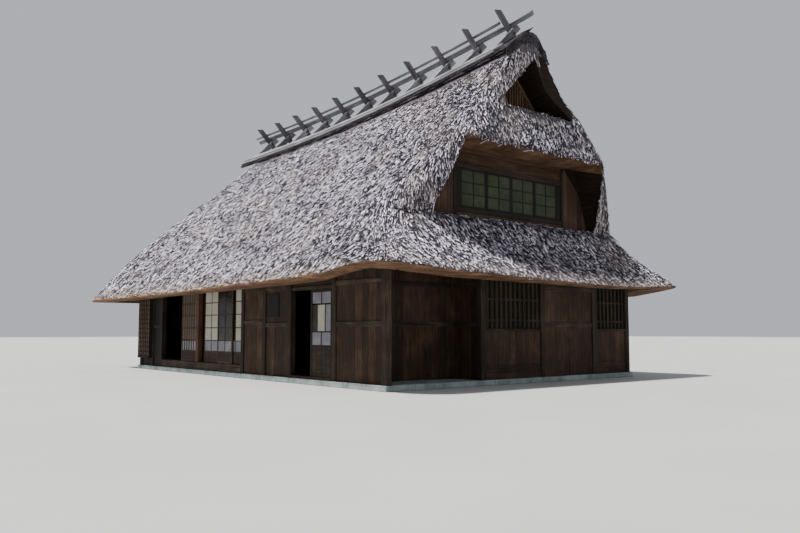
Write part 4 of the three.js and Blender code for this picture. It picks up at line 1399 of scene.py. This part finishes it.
@dataclass
class BoardRun:
    """Upright boards between two posts, with rails across them."""

    along: Along
    start: float
    end: float
    face: float
    facing: Facing
    low: float
    top: float
    rails: tuple[float, ...] = ()
    rail_height: float = 0.105
    width: float = 0.21
    thick: float = 0.07
    rail_proud: float = 0.022
    gap: float = 0.003
    warp: float = 0.007

    def box(self, a0: float, a1: float, d0: float, d1: float, z0: float, z1: float) -> tuple:
        """Corners of a bar from places along the wall and depths behind its outer face."""
        sign = self.facing.value
        deep = sorted((self.face - sign * d0, self.face - sign * d1))
        if self.along is Along.FRONT:
            return (a0, deep[0], z0), (a1, deep[1], z1)
        return (deep[0], a0, z0), (deep[1], a1, z1)

    def across(self, wall: Joinery, span: tuple[float, float], depths: tuple[float, float],
               bevel: float, finish: int) -> None:
        """Add one bar over the run's whole length, between two heights."""
        wall.bar(*self.box(self.start, self.end, *depths, *span), bevel, finish)

    def add(self, wall: Joinery, finish: int = 0, rail_finish: int = 0) -> None:
        """Add the boards and rails to a wall."""
        count = max(1, round((self.end - self.start) / self.width))
        cuts = [self.start]
        for index in range(1, count):
            drift = wall.random.uniform(-0.16, 0.16)
            cuts.append(self.start + (index + drift) * (self.end - self.start) / count)
        cuts.append(self.end)
        for a0, a1 in zip(cuts, cuts[1:]):
            back = wall.random.uniform(0.0, self.warp)
            wall.bar(*self.box(a0 + self.gap / 2, a1 - self.gap / 2, back, self.thick, self.low,
                               self.top), 0.005, finish)
        for z in self.rails:
            half = self.rail_height / 2
            self.across(wall, (z - half, z + half), (-self.rail_proud, 0.012), 0.006, rail_finish)


@dataclass
class Walls:
    """Board walls with their posts, sills and heads."""

    finishes: Finishes
    base: float = 0.1204
    head_rail: float = 2.21
    mid_rail: float = 1.335
    half_post: float = 0.075
    dado: float = 1.245
    bay_sill: tuple[float, float] = (1.185, 1.244)
    bay_head: tuple[float, float] = (2.351, 2.425)
    grooves: tuple[float, ...] = (0.010, 0.052, 0.092)
    groove_deep: float = 0.012
    head_beam: float = 0.075
    gable_posts: tuple[float, ...] = (PLAN.porch_long, 4.72, 6.69)
    rear_posts: tuple[float, ...] = (-4.611, -2.65, -0.42, 1.809, 3.77)
    left_post: float = -1.363
    blank: tuple[tuple, tuple] = ((1.80, 1.52), (2.34, 2.08))

    def wall(self, name: str, seed: int, *finishes: Material) -> Joinery:
        """Start a wall, of dark boards and weathered posts unless told otherwise."""
        return Joinery(name, list(finishes) or [self.finishes.boards, self.finishes.post], seed)

    def post(self, wall: Joinery, x: float, y: float, low: float | None = None,
             finish: int = 1) -> None:
        """Stand one post."""
        half = self.half_post
        wall.bar((x - half, y - half, low or self.base), (x + half, y + half, PLAN.wall_top),
                 0.010, finish)

    def run(self, along: Along, start: float, end: float, face: float, facing: Facing,
            rails: tuple[float, ...] | None = None, **sizes: float) -> BoardRun:
        """Boards from the curb to the wall head, with two rails unless told otherwise."""
        sizes = {"low": self.base, "top": PLAN.wall_top, **sizes}
        rails = (self.mid_rail, self.head_rail) if rails is None else rails
        return BoardRun(along, start, end, face, facing, rails=rails, **sizes)

    def front(self, wall: Joinery, parts: tuple, post_finish: int = 1) -> None:
        """Lay out a stretch of the front by distances from the near corner.

        Args:
            wall: the wall that is being made.
            parts: a post's middle, or the ends, rails and width of a run of boards.
            post_finish: index of the posts' finish.
        """
        for part in parts:
            if isinstance(part, float):
                self.post(wall, PLAN.front_x(part), PLAN.wall_front + self.half_post, None,
                          post_finish)
            else:
                near, far, rails, width = part
                self.run(Along.FRONT, PLAN.front_x(far), PLAN.front_x(near),
                         PLAN.wall_front + PLAN.board_back, Facing.MINUS, rails,
                         width=width).add(wall, 0, 1)

    def front_right(self) -> None:
        """Corner post, boards and the entrance's right post."""
        wall = self.wall("front_wall_right", 31)
        self.front(wall, (0.075, (0.15, 1.743, None, 0.23), 1.818))
        wall.done(HOUSE, "boards", "wall_front_right")

    def front_middle(self) -> None:
        """Boards between the entrance and the first bay, with a blank board hung on them."""
        looks = self.finishes
        wall = self.wall("front_wall_middle", 32, looks.boards, looks.post, looks.frame,
                         looks.black)
        upper = (1.41, self.head_rail)
        self.front(wall, (3.636, (3.711, 4.725, None, 0.21), 4.8, (4.875, 5.815, upper, 0.31),
                          5.89), 2)
        face = PLAN.wall_front + PLAN.board_back
        (x0, z0), (x1, z1) = self.blank
        wall.bar((x0, face - 0.022, z0), (x1, face - 0.0005, z1), 0.004, 3)
        wall.done(HOUSE, "boards", "wall_front_middle")

    def front_left(self) -> None:
        """Boards behind the shutter case, to the far corner."""
        wall = self.wall("front_wall_left", 33, self.finishes.black, self.finishes.frame)
        self.front(wall, (11.075, (11.15, 11.665, (self.mid_rail,), 0.21), 11.74,
                          (11.815, 12.577, (self.mid_rail,), 0.21)))
        self.post(wall, PLAN.wall_left + self.half_post, PLAN.wall_front + self.half_post)
        wall.done(HOUSE, "boards", "wall_front_left")

    def bay_post(self) -> None:
        """The reddish post in the middle of the bays."""
        wall = self.wall("bay_middle_post", 34, self.finishes.red)
        self.post(wall, PLAN.front_x(8.545), PLAN.wall_front + self.half_post,
                  PLAN.floor_top + 0.0004, 0)
        wall.done(HOUSE, "red_timber", "post_bay_middle")

    def sills(self) -> None:
        """Grooved sills and the heads over the doorways."""
        for node in ("bay_sill", "entrance_sill"):
            low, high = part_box(node)
            sill = self.wall(f"{node}_beam", 35, self.finishes.post)
            sill.bar(low, (high.x, high.y, high.z - self.groove_deep), 0.008)
            for y in (low.y + groove for groove in self.grooves):
                sill.bar((low.x, y - 0.008, high.z - 0.016), (high.x, y + 0.008, high.z - 0.001),
                         0.002)
            sill.done(HOUSE, "dark_timber", node)
        for node in ("entrance_head", "bay_head_left", "bay_head_right"):
            low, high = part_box(node)
            head = self.wall(f"{node}_panel", 36, self.finishes.post, self.finishes.boards)
            head.bar(low, (high.x, high.y, low.z + self.head_beam), 0.006)
            self.run(Along.FRONT, low.x, high.x, low.y + 0.025, Facing.MINUS, (),
                     low=low.z + self.head_beam, top=high.z, width=0.42,
                     thick=0.05).add(head, 1)
            head.done(HOUSE, "dark_timber", node)

    def porch(self) -> None:
        """Board walls at the back of the corner porch."""
        wall = self.wall("porch_board_walls", 37)
        low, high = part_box("porch_walls")
        back = PLAN.wall_right - PLAN.porch_deep
        side = PLAN.gable_y(PLAN.porch_long)
        self.run(Along.SIDE, PLAN.wall_front + PLAN.post, side - 0.04, back - 0.03, Facing.PLUS,
                 low=low.z, top=high.z, thick=0.12).add(wall, 0, 1)
        self.run(Along.FRONT, back, PLAN.wall_right - PLAN.post - 0.001, side - 0.04,
                 Facing.MINUS, low=low.z, top=high.z, thick=0.11).add(wall, 0, 1)
        self.post(wall, back - self.half_post, side)
        wall.done(HOUSE, "boards", "porch_walls")

    def bays(self, ends: list[float]) -> list[tuple[float, float]]:
        """Both ends of each stretch between neighbouring posts."""
        return [(near + self.half_post, far - self.half_post) for near, far in zip(ends, ends[1:])]

    def lattice_frame(self, wall: Joinery, bay: BoardRun) -> None:
        """Add the sill, the head rail and the board over a lattice bay."""
        for span in (self.bay_sill, self.bay_head):
            bay.across(wall, span, (-0.026, bay.thick), 0.008, 1)
        bay.across(wall, (self.bay_head[1], PLAN.wall_top), (0.0, bay.thick), 0.005, 0)

    def gable(self) -> None:
        """The gable side wall: lattice bays over boards, and a boarded bay between them."""
        wall = self.wall("gable_side_wall", 38)
        spots = [PLAN.gable_y(distance) for distance in self.gable_posts]
        spots.append(PLAN.wall_rear - self.half_post)
        for y in spots:
            self.post(wall, PLAN.wall_right - self.half_post, y)
        for index, (y0, y1) in enumerate(self.bays(spots)):
            where = (Along.SIDE, y0, y1, PLAN.wall_right - PLAN.board_back, Facing.PLUS)
            if index == 1:
                self.run(*where, width=0.45).add(wall, 0, 1)
                continue
            bay = self.run(*where, (), low=0.42, top=self.dado, width=0.2)
            bay.add(wall)
            for step in range(2):
                z0 = self.base + step * 0.15
                bay.across(wall, (z0, z0 + 0.148), (-0.004 * step, bay.thick), 0.006, 0)
            self.lattice_frame(wall, bay)
        wall.done(HOUSE, "boards", "wall_gable")

    def rear(self) -> None:
        """The rear wall, boarded round two lattice bays."""
        wall = self.wall("rear_wall", 39)
        corner = PLAN.wall_left + self.half_post
        for x in (*self.rear_posts, corner):
            self.post(wall, x, PLAN.wall_rear - self.half_post)
        ends = [corner, *self.rear_posts, PLAN.wall_right - self.half_post - 0.001]
        for index, (x0, x1) in enumerate(self.bays(ends)):
            where = (Along.FRONT, x0, x1, PLAN.wall_rear - PLAN.board_back, Facing.PLUS)
            if index not in (1, 4):
                self.run(*where).add(wall, 0, 1)
                continue
            bay = self.run(*where, (), top=self.dado)
            bay.add(wall)
            self.lattice_frame(wall, bay)
        wall.done(HOUSE, "boards", "wall_rear")

    def left(self) -> None:
        """The left wall round its glazed window."""
        wall = self.wall("left_wall", 40)
        low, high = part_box("side_window")
        posts = [self.left_post, low.y - 0.0754, high.y + 0.0754]
        for y in posts:
            self.post(wall, PLAN.wall_left + self.half_post, y)
        ends = [PLAN.wall_front + 0.0755, *posts, PLAN.wall_rear - 0.0755]
        for index, (y0, y1) in enumerate(self.bays(ends)):
            where = (Along.SIDE, y0, y1, PLAN.wall_left + PLAN.board_back, Facing.MINUS)
            if index != 2:
                self.run(*where).add(wall, 0, 1)
                continue
            bay = self.run(*where, (), top=low.z - 0.06)
            bay.add(wall)
            self.run(*where, (), low=high.z + 0.06).add(wall)
            for span in ((low.z - 0.06, low.z - 0.0005), (high.z + 0.0005, high.z + 0.06)):
                bay.across(wall, span, (-0.02, 0.08), 0.006, 1)
        wall.done(HOUSE, "boards", "wall_left")

    def build(self) -> None:
        """Make every wall."""
        for step in (self.front_right, self.front_middle, self.front_left, self.bay_post,
                     self.sills, self.porch, self.gable, self.rear, self.left):
            step()


@dataclass
class Lattice:
    """Upright window bars tied by two rails."""

    node: str
    along: Along
    pitch: float = 0.155
    bar: float = 0.064
    rails: tuple[float, float] = (1.43, 1.90)
    half_rail: float = 0.02
    pane: tuple[float, float] = (-0.008, -0.004)

    def build(self, finishes: Finishes) -> None:
        """Make the bars and rails inside the node's box, and behind them a pane of dark glass,
        painted shade of the room.
        """
        low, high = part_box(self.node)
        lattice = Joinery(f"{self.node}_bars", [finishes.frame, finishes.post, finishes.dusk], 50)
        side, depth = self.along.value, 1 - self.along.value
        span = high[side] - low[side]
        for start, end in shares(low[side], high[side], round(span / self.pitch)):
            first, last = list(low), list(high)
            first[side] = (start + end - self.bar) / 2
            last[side] = first[side] + self.bar
            lattice.bar(first, last, 0.006)
        for z in self.rails:
            first, last = list(low), list(high)
            first[2], last[2] = z - self.half_rail, z + self.half_rail
            first[depth] += 0.008
            last[depth] -= 0.012
            lattice.bar(first, last, 0.004, 1)
        # The pane's dark colour is painted shade of the room behind the bars
        first, last = list(low), list(high)
        first[depth], last[depth] = (low[depth] + back for back in self.pane)
        lattice.bar(first, last, 0, 2)
        lattice.done(HOUSE, "dark_timber", self.node)


@dataclass(frozen=True)
class PaneRow:
    """Panes of a row: lower and upper edge, upright bars, finish, and share of the width."""

    low: float
    high: float
    bars: tuple[float, ...]
    finish: int
    span: tuple[float, float] = (0.0, 1.0)


@dataclass
class SlidingLeaf:
    """A sliding leaf: stiles, rails, rows of panes with their bars, and a boarded foot."""

    node: str
    body: str
    slot: str
    rows: tuple[PaneRow, ...]
    finishes: list[Material]
    kick: float = 0.634
    stile: float = 0.045
    bar: float = 0.022
    half_pane: float = 0.003
    half_board: float = 0.006
    half_rail: float = 0.018
    handle: tuple[float, float] = (1.0, 1.12)

    def build(self) -> None:
        """Make the leaf inside its node's box."""
        low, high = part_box(self.node)
        leaf = Joinery(f"{self.node}_leaf", self.finishes, 60 + len(self.node))
        y0, y1 = low.y, high.y
        middle = (y0 + y1) / 2
        left, right = low.x + self.stile, high.x - self.stile
        foot, half, board = self.stile + self.half_rail, self.bar / 2, self.half_board
        leaf.casement(low, high, self.stile, foot, self.stile, Along.FRONT, 0.001)
        foot += low.z
        leaf.bar((left, middle - board, foot), (right, middle + board, self.kick), 0, 1, 0)
        leaf.bar((left, y0 + 0.003, self.kick - self.half_rail),
                 (right, y1 - 0.003, self.kick + self.half_rail), 0.003)
        for x, _ in shares(left, right, 4)[1:]:
            leaf.bar((x - board, y0 + 0.006, foot), (x + board, middle - 0.005, self.kick), 0.002)
        for row in self.rows:
            top = min(row.high, high.z - self.stile)
            near, far = (left + (right - left) * share for share in row.span)
            leaf.bar((near, middle - self.half_pane, row.low),
                     (far, middle + self.half_pane, top), 0, row.finish)
            for x in (left + (right - left) * share for share in row.bars):
                leaf.bar((x - half, y0 + 0.004, row.low), (x + half, y1 - 0.004, top), 0.003)
            if top == row.high:
                leaf.bar((left, y0 + 0.005, top - half), (right, y1 - 0.005, top + half), 0.003)
        leaf.bar((high.x - self.stile * 0.75, y0 - 0.0015, self.handle[0]),
                 (high.x - self.stile * 0.3, y0 + 0.002, self.handle[1]), 0.001, 1)
        leaf.done(self.body, self.slot, self.node)


@dataclass
class Sash:
    """Glazing bars and a pane inside the frame of a window that looks along X."""

    stile: float
    foot: float
    head: float
    half_pane: float
    upright: tuple[float, float]
    level: tuple[float, float]

    def add(self, window: Joinery, low: tuple | Vector, high: tuple | Vector,
            uprights: list[float], levels: list[float]) -> None:
        """Add the frame, pane and bars.

        Args:
            window: the joinery that is being made.
            low: lowest corner of the window.
            high: its highest corner.
            uprights: Y of the middle of each upright bar.
            levels: Z of the middle of each level bar.
        """
        (x0, y0, z0), (x1, y1, z1) = low, high
        window.casement(low, high, self.stile, self.foot, self.head)
        middle = (x0 + x1) / 2
        y0, y1, z0, z1 = y0 + self.stile, y1 - self.stile, z0 + self.foot, z1 - self.head
        window.bar((middle - self.half_pane, y0, z0), (middle + self.half_pane, y1, z1), 0, 1)
        half, inset = self.upright
        for y in uprights:
            window.bar((x0 + inset, y - half, z0), (x1 - inset, y + half, z1), 0.003)
        half, inset = self.level
        for z in levels:
            window.bar((x0 + inset, y0, z - half), (x1 - inset, y1, z + half), 0.003)


@dataclass
class SideWindow:
    """The glazed window in the left wall."""

    finishes: Finishes
    node: str = "side_window"
    levels: tuple[float, float] = (1.16, 1.54)
    sash: Sash = field(default_factory=lambda: Sash(0.042, 0.06, 0.042, 0.003, (0.009, 0.004),
                                                    (0.009, 0.005)))

    def build(self) -> None:
        """Make its frame, bars and panes."""
        low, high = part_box(self.node)
        window = Joinery("left_wall_window", [self.finishes.post, self.finishes.frosted], 70)
        uprights = [y for y, _ in shares(low.y, high.y, 3)[1:]]
        self.sash.add(window, low, high, uprights, list(self.levels))
        window.done(HOUSE, "glazed_leaf", self.node)


@dataclass
class UpperStorey:
    """The boarded wall under the brow with its window row, beam and sill."""

    finishes: Finishes
    half_row: float = 1.81
    jamb: float = 0.14
    board: float = 0.19
    side_half: tuple[float, ...] = (2.97, 2.74, 2.44, 1.94)
    side_z: tuple[float, ...] = (3.7204, 4.4, 4.8, 5.32)
    vent_sill: float = 6.50
    vent_apex: float = 7.44
    vent_foot: float = 0.92
    vent_half: float = 0.90
    vent_bars: int = 20
    sash: Sash = field(default_factory=lambda: Sash(0.05, 0.055, 0.045, 0.004, (0.015, 0.006),
                                                    (0.012, 0.007)))

    def top_at(self, y: float) -> float:
        """Height at which the thatch meets the wall, at a distance from its middle."""
        pairs = list(zip(self.side_z, self.side_half))
        for (z0, h0), (z1, h1) in zip(pairs, pairs[1:]):
            if h0 >= y >= h1:
                return z0 + (h0 - y) / (h0 - h1) * (z1 - z0)
        return self.side_z[-1]

    def slant(self, point: Vector) -> Vector:
        """Cut a board's top along the thatch."""
        if point.z > self.side_z[0] + 0.1:
            return Vector((point.x, point.y, self.top_at(abs(point.y))))
        return point

    def wall(self) -> None:
        """Boards beside and over the windows, layered sill boards and the head beam."""
        wall = Joinery("upper_board_wall",
                       [self.finishes.brown, self.finishes.frame, self.finishes.boards], 80)
        face, row, low = PLAN.helmet_plane - 0.0004, self.half_row, self.side_z[0]
        for side in (-1, 1):
            y = row + 0.09
            while y < self.side_half[0] - 0.02:
                y1 = min(y + self.board, self.side_half[0])
                a, b = sorted((side * y, side * (y1 - 0.003)))
                wall.bar((face - 0.07, a, low),
                         (face - wall.random.uniform(0.012, 0.02), b, 4.5), 0.004, 0, 2, 0,
                         self.slant)
                y = y1
            a, b = sorted((side * row, side * (row + 0.09)))
            wall.bar((face - 0.10, a, low), (face, b, PLAN.brow_under - 0.02), 0.008, 1)
        # The rails and boards over the windows, up to the brow, take the dark frame and board
        # finishes: painted shade under the brow
        for back, half, z0, proud, z1, bevel, finish in (
                (0.10, row, low, 0.01, 3.83, 0.006, 0), (0.10, row, 3.832, 0.0, 3.938, 0.008, 1),
                (0.10, row, 4.842, 0.0, 4.95, 0.008, 1), (0.08, row, 4.952, 0.02, 5.20, 0.006, 2),
                (0.10, 2.0, 5.202, 0.0, 5.318, 0.008, 2)):
            wall.bar((face - back, -half, z0), (face - proud, half, z1), bevel, finish)
        wall.done(HOUSE, "boards", "upper_wall")

    def windows(self) -> None:
        """Four leaves of two columns by three rows of panes."""
        for node, near in (("upper_window_near", True), ("upper_window_far", False)):
            low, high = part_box(node)
            row = Joinery(f"{node}_leaves", [self.finishes.black, self.finishes.dusk],
                          81 if near else 83)
            edge = low.y if near else high.y - self.jamb
            row.bar((low.x, edge, low.z), (high.x, edge + self.jamb, high.z))
            start, end = (low.y + self.jamb, high.y) if near else (low.y, high.y - self.jamb)
            levels = [low.z + 0.055 + (high.z - low.z - 0.1) * step / 3 for step in (1, 2)]
            for index, (y0, y1) in enumerate(shares(start, end, 2)):
                shift = 0.004 * index
                self.sash.add(row, (low.x + shift, y0, low.z), (high.x - 0.004 + shift, y1, high.z),
                              [(y0 + y1) / 2], levels)
            row.done(HOUSE, "glazed_leaf", node)

    def vent(self) -> None:
        """Thin bars that close the small gable, with slanting members behind the verge."""
        low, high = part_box("vent_lattice")
        vent = Joinery("vent_bars", [self.finishes.pale, self.finishes.pale], 84)
        sill, apex, foot = self.vent_sill, self.vent_apex, self.vent_foot
        for index in range(self.vent_bars + 1):
            y = self.vent_half * (index * 2 / self.vent_bars - 1)
            top = apex - abs(y) * (apex - sill) / foot
            if top - sill > 0.08:
                vent.bar((low.x + 0.02, y - 0.019, sill - 0.02), (high.x - 0.02, y + 0.019, top))
        vent.bar((low.x, -0.97, low.z), (high.x, 0.97, sill + 0.04), 0.008, 1)
        for side in (-1, 1):
            start = Vector((0, side * foot, sill))
            run = Vector((0, 0, apex)) - start
            lean = Matrix.Rotation(math.atan2(run.z, run.y), 4, "X")
            turn = Matrix.Translation((0, start.y, start.z)) @ lean

            def placed(point: Vector, turn: Matrix = turn) -> Vector:
                """Lean the member along the edge of the opening."""
                return turn @ point

            vent.bar((low.x + 0.005, 0, -0.045), (high.x, run.length, 0.045), 0.006, 1, 1, 0,
                     placed)
        vent.done(HOUSE, "dark_timber", "vent_lattice")

    def build(self) -> None:
        """Make the upper wall, its windows and the vent."""
        self.wall()
        self.windows()
        self.vent()


@dataclass
class Base:
    """Stone curb, floors, wall plate and the shutter case."""

    finishes: Finishes
    block: float = 1.2
    joint: float = 0.004
    curb_wide: float = 0.35
    curb_in: float = 0.05
    flags: tuple[int, int] = (4, 2)
    planks: int = 38
    plate_top: float = 2.86
    rafter_pitch: float = 0.46
    rafter_ends: tuple[float, float] = (2.80, 2.36)
    rafter_out: tuple[float, float] = (-0.02, 0.62)
    purlin_out: float = 0.36
    purlin_z: float = 2.47
    case_bars: tuple[int, int] = (6, 13)
    case_side: float = 0.02
    case_rail: float = 0.07

    def curb(self) -> None:
        """Curb stones laid round the house, and flags on the corner porch."""
        low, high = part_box("foundation")
        curb = Joinery("curb_stones", [self.finishes.stone], 90)
        wide, top = self.curb_wide, high.z
        porch_x = PLAN.wall_right - PLAN.porch_deep + self.curb_in - wide
        porch_y = PLAN.gable_y(PLAN.porch_long) - self.curb_in + wide
        rear = high.y - wide
        self.course(curb, (low.x, porch_x), (low.y, low.y + wide), top)
        self.course(curb, (low.x, high.x), (rear, high.y), top)
        self.course(curb, (low.x, low.x + wide), (low.y + wide, rear), top, Along.SIDE)
        self.course(curb, (high.x - wide, high.x), (porch_y, rear), top, Along.SIDE)
        for y0, y1 in shares(low.y, porch_y, self.flags[0]):
            for x0, x1 in shares(porch_x, high.x, self.flags[1]):
                self.stone(curb, (x0, x1), (y0, y1), top - curb.random.uniform(0.0, 0.003))
        curb.done(HOUSE, "stone", "foundation")

    def stone(self, curb: Joinery, xs: tuple, ys: tuple, top: float,
              along: Along | None = None) -> None:
        """Lay one stone, with half a joint on its ends, or on all sides if it is a flag."""
        x = self.joint / 2 if along is not Along.SIDE else 0.0
        y = self.joint / 2 if along is not Along.FRONT else 0.0
        curb.bar((xs[0] + x, ys[0] + y, 0.0), (xs[1] - x, ys[1] - y, top), 0.012)

    def course(self, curb: Joinery, xs: tuple, ys: tuple, top: float,
               along: Along = Along.FRONT) -> None:
        """Lay one row of curb stones."""
        start, end = ys if along is Along.SIDE else xs
        for ends in shares(start, end, max(1, round((end - start) / self.block))):
            high = top - curb.random.uniform(0.0, 0.004)
            if along is Along.SIDE:
                self.stone(curb, xs, ends, high, along)
            else:
                self.stone(curb, ends, ys, high, along)

    def floors(self, nodes: dict[str, bpy.types.Object]) -> None:
        """Planks on the raised floor; the packed earth keeps its own solid."""
        low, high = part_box("raised_floor")
        planks = Joinery("raised_floor_planks", [self.finishes.floor, self.finishes.frame], 91)
        for y0, y1 in shares(low.y, high.y, self.planks):
            planks.bar((low.x, y0 + 0.001, high.z - 0.03), (high.x, y1 - 0.001, high.z), 0.003)
        planks.bar(low, (high.x, high.y, high.z - 0.031), 0.004, 1)
        planks.done(HOUSE, "boards", "raised_floor")
        earth = nodes["earth_floor"]
        earth.data.materials.clear()
        earth.data.materials.append(self.finishes.earth)

    def plate(self) -> None:
        """Wall plate, and the rafters and purlins under the eaves."""
        plate = Joinery("eave_timbers", [self.finishes.frame, self.finishes.brown], 92)
        top, low, post = self.plate_top, PLAN.wall_top + 0.0004, PLAN.post
        left, right = PLAN.wall_left, PLAN.wall_right
        front, rear = PLAN.wall_front, PLAN.wall_rear
        for y0, y1 in ((front, front + post), (rear - post, rear)):
            plate.bar((left, y0, low), (right, y1, top), 0.010)
        for x0, x1 in ((left, left + post), (right - post, right)):
            plate.bar((x0, front + post, low), (x1, rear - post, top), 0.010)
        for along, side, wall in ((Along.FRONT, -1, front), (Along.FRONT, 1, rear),
                                  (Along.SIDE, 1, right), (Along.SIDE, -1, left)):
            self.rafters(plate, along, side, wall)
        plate.done(HOUSE, "dark_timber", "wall_beam")

    def rafters(self, plate: Joinery, along: Along, side: int, wall: float) -> None:
        """Poles that run from the wall out to the eave, tied by one purlin."""
        def spot(place: float, out: float, z: float) -> Vector:
            """A point at a place along the wall, out from it."""
            away = wall + side * out
            return Vector((place, away, z) if along is Along.FRONT else (away, place, z))

        start, end = PLAN.wall_front - 0.2, PLAN.wall_rear + 0.2
        if along is Along.FRONT:
            start, end = PLAN.wall_left - 0.2, PLAN.wall_right + 0.2
        count = round((end - start) / self.rafter_pitch)
        (rise, drop), (near, far) = self.rafter_ends, self.rafter_out
        for index in range(count + 1):
            a = start + (end - start) * index / count + plate.random.uniform(-0.03, 0.03)
            plate.pole(spot(a, near, rise), spot(a, far, drop), 0.036, 7, 0.85)
        plate.pole(spot(start, self.purlin_out, self.purlin_z),
                   spot(end, self.purlin_out, self.purlin_z), 0.045)

    def shutter_case(self) -> None:
        """The case that takes the shutters, its front a close lattice over boards."""
        low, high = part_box("shutter_case")
        case = Joinery("shutter_case_box", [self.finishes.black, self.finishes.pale], 93)
        for x0, x1 in shares(low.x + 0.01, high.x - 0.01, 4):
            case.bar((x0 + 0.001, low.y + 0.03, low.z + 0.01), (x1 - 0.001, high.y, high.z - 0.01),
                     0.004, 1)
        for x in (high.x - self.case_side, low.x):
            case.bar((x, low.y + 0.01, low.z), (x + self.case_side, high.y, high.z))
        for z in (low.z, high.z - self.case_rail):
            case.bar((low.x, low.y, z), (high.x, high.y, z + self.case_rail), 0.006)
        uprights, levels = self.case_bars
        for index in range(uprights + 1):
            x = low.x + 0.015 + (high.x - low.x - 0.03) * index / uprights
            case.bar((x - 0.006, low.y + 0.012, low.z + 0.06),
                     (x + 0.006, low.y + 0.031, high.z - 0.06), 0.003)
        for z, _ in shares(low.z + 0.05, high.z - 0.05, levels)[1:]:
            case.bar((low.x + 0.005, low.y + 0.008, z - 0.014),
                     (high.x - 0.005, low.y + 0.031, z + 0.014), 0.003)
        case.done(HOUSE, "dark_timber", "shutter_case")

    def build(self, nodes: dict[str, bpy.types.Object]) -> None:
        """Make the base, the eave timbers and the shutter case."""
        self.curb()
        self.floors(nodes)
        self.plate()
        self.shutter_case()


@dataclass
class Studio:
    """Pale floor, soft light and the camera."""

    position: tuple[float, float, float] = (18.3715, -13.5625, 1.178)
    azimuth: float = 50.47
    pitch: float = 4.806
    lens: float = 34.77
    sensor: float = 36.0
    far_clip: float = 500.0
    half_floor: float = 150.0
    sky: tuple[float, float, float] = (0.86, 0.90, 0.97)
    sky_strength: float = 0.62
    sun_energy: float = 8.5
    sun_angle: float = 4.0
    sun_colour: tuple[float, float, float] = (1.0, 0.975, 0.945)
    sun_towards: tuple[float, float, float] = (0.09, 0.46, -0.88)

    def camera(self) -> None:
        """Stand the camera where the photo was taken."""
        data = bpy.data.cameras.new("view")
        data.lens = self.lens
        data.sensor_width = self.sensor
        data.clip_end = self.far_clip
        camera = stand("view", data)
        camera.location = self.position
        camera.rotation_euler = Euler((math.radians(90 + self.pitch), 0,
                                       math.radians(self.azimuth)))
        bpy.context.scene.camera = camera

    def floor(self) -> None:
        """Lay the pale floor."""
        bm = bmesh.new()
        bmesh.ops.create_grid(bm, x_segments=1, y_segments=1, size=self.half_floor)
        bench = NodeBench("studio_floor")
        colour = bench.ramp(bench.noise(bench.place(), 0.4, 2), (0.3, (0.42, 0.42, 0.415)),
                            (0.7, (0.45, 0.45, 0.445)))
        mesh = mesh_of(bm, "studio_floor", bench.finish(colour, 0.9))
        floor = stand("studio_floor", mesh)

    def light(self) -> None:
        """A soft key from the front left, and an even sky."""
        world = bpy.data.worlds.new("studio")
        world.use_nodes = True
        back = world.node_tree.nodes["Background"]
        back.inputs["Color"].default_value = (*self.sky, 1)
        back.inputs["Strength"].default_value = self.sky_strength
        bpy.context.scene.world = world
        data = bpy.data.lights.new("key", "SUN")
        data.energy = self.sun_energy
        data.angle = math.radians(self.sun_angle)
        data.color = self.sun_colour
        key = stand("key", data)
        key.rotation_euler = Vector(self.sun_towards).to_track_quat("-Z", "Y").to_euler()

    def build(self) -> None:
        """Set the stage."""
        self.camera()
        self.floor()
        self.light()


def bay_rows(bars: tuple[float, ...], foot: int, upper: int,
             span: tuple[float, float] = (0.0, 1.0)) -> tuple[PaneRow, ...]:
    """Five rows of panes for a leaf of the bays."""
    levels = (0.634, 0.931, 1.277, 1.623, 1.958, 2.40)
    return tuple(PaneRow(low, high, bars, foot if index == 0 else upper, span)
                 for index, (low, high) in enumerate(zip(levels, levels[1:])))


def leaves(finishes: Finishes) -> list[SlidingLeaf]:
    """The six sliding leaves of the front."""
    entrance = (PaneRow(0.86, 1.17, (0.5,), 2), PaneRow(1.17, 1.78, (0.27, 0.70), 3, (0.0, 0.27)),
                PaneRow(1.17, 1.78, (), 4, (0.27, 0.70)), PaneRow(1.17, 1.78, (), 2, (0.70, 1.0)),
                PaneRow(1.78, 2.3, (0.5,), 2))
    plain = bay_rows((0.5,), 2, 3)
    halves = (plain[:1] + bay_rows((0.5,), 3, 3, (0.0, 0.5))[1:]
              + bay_rows((), 4, 4, (0.5, 1.0))[1:])
    slats = bay_rows(tuple(index / 6 for index in range(1, 6)), 2, 5)
    panes = [finishes.frosted, finishes.glass, finishes.paper]
    dark = [finishes.frame, finishes.frame, *panes]
    brown = [finishes.brown, finishes.boards, *panes]
    darkened = [*brown, finishes.old_paper]
    return [
        *(SlidingLeaf(f"entrance_door_{place}", f"entrance_leaf_{place}", "glazed_leaf", entrance,
                      dark, 0.86, 0.07, 0.028) for place in ("outer", "inner")),
        SlidingLeaf("glass_door_right", "glass_leaf_right", "glazed_leaf", halves, brown),
        SlidingLeaf("glass_door_left", "glass_leaf_left", "glazed_leaf", plain, brown),
        SlidingLeaf("shoji_door", "shoji_leaf", "paper", bay_rows((0.5,), 2, 4), brown),
        SlidingLeaf("lattice_door", "lattice_leaf", "dark_timber", slats, darkened, 0.634, 0.055,
                    0.052),
    ]


def main() -> None:
    """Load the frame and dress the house."""
    logging.basicConfig(level=logging.INFO, format="%(name)s %(message)s")
    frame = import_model()
    Studio().build()
    finishes = Finishes()
    Base(finishes).build(frame["nodes"])
    Walls(finishes).build()
    for node, along in (("gable_lattice_near", Along.SIDE), ("gable_lattice_far", Along.SIDE),
                        ("rear_lattice_left", Along.FRONT), ("rear_lattice_right", Along.FRONT)):
        Lattice(node, along).build(finishes)
    for leaf in leaves(finishes):
        leaf.build()
    SideWindow(finishes).build()
    UpperStorey(finishes).build()
    Ridge(finishes).build()
    Thatch(frame["nodes"], finishes).build()


if __name__ == "__main__":
    main()
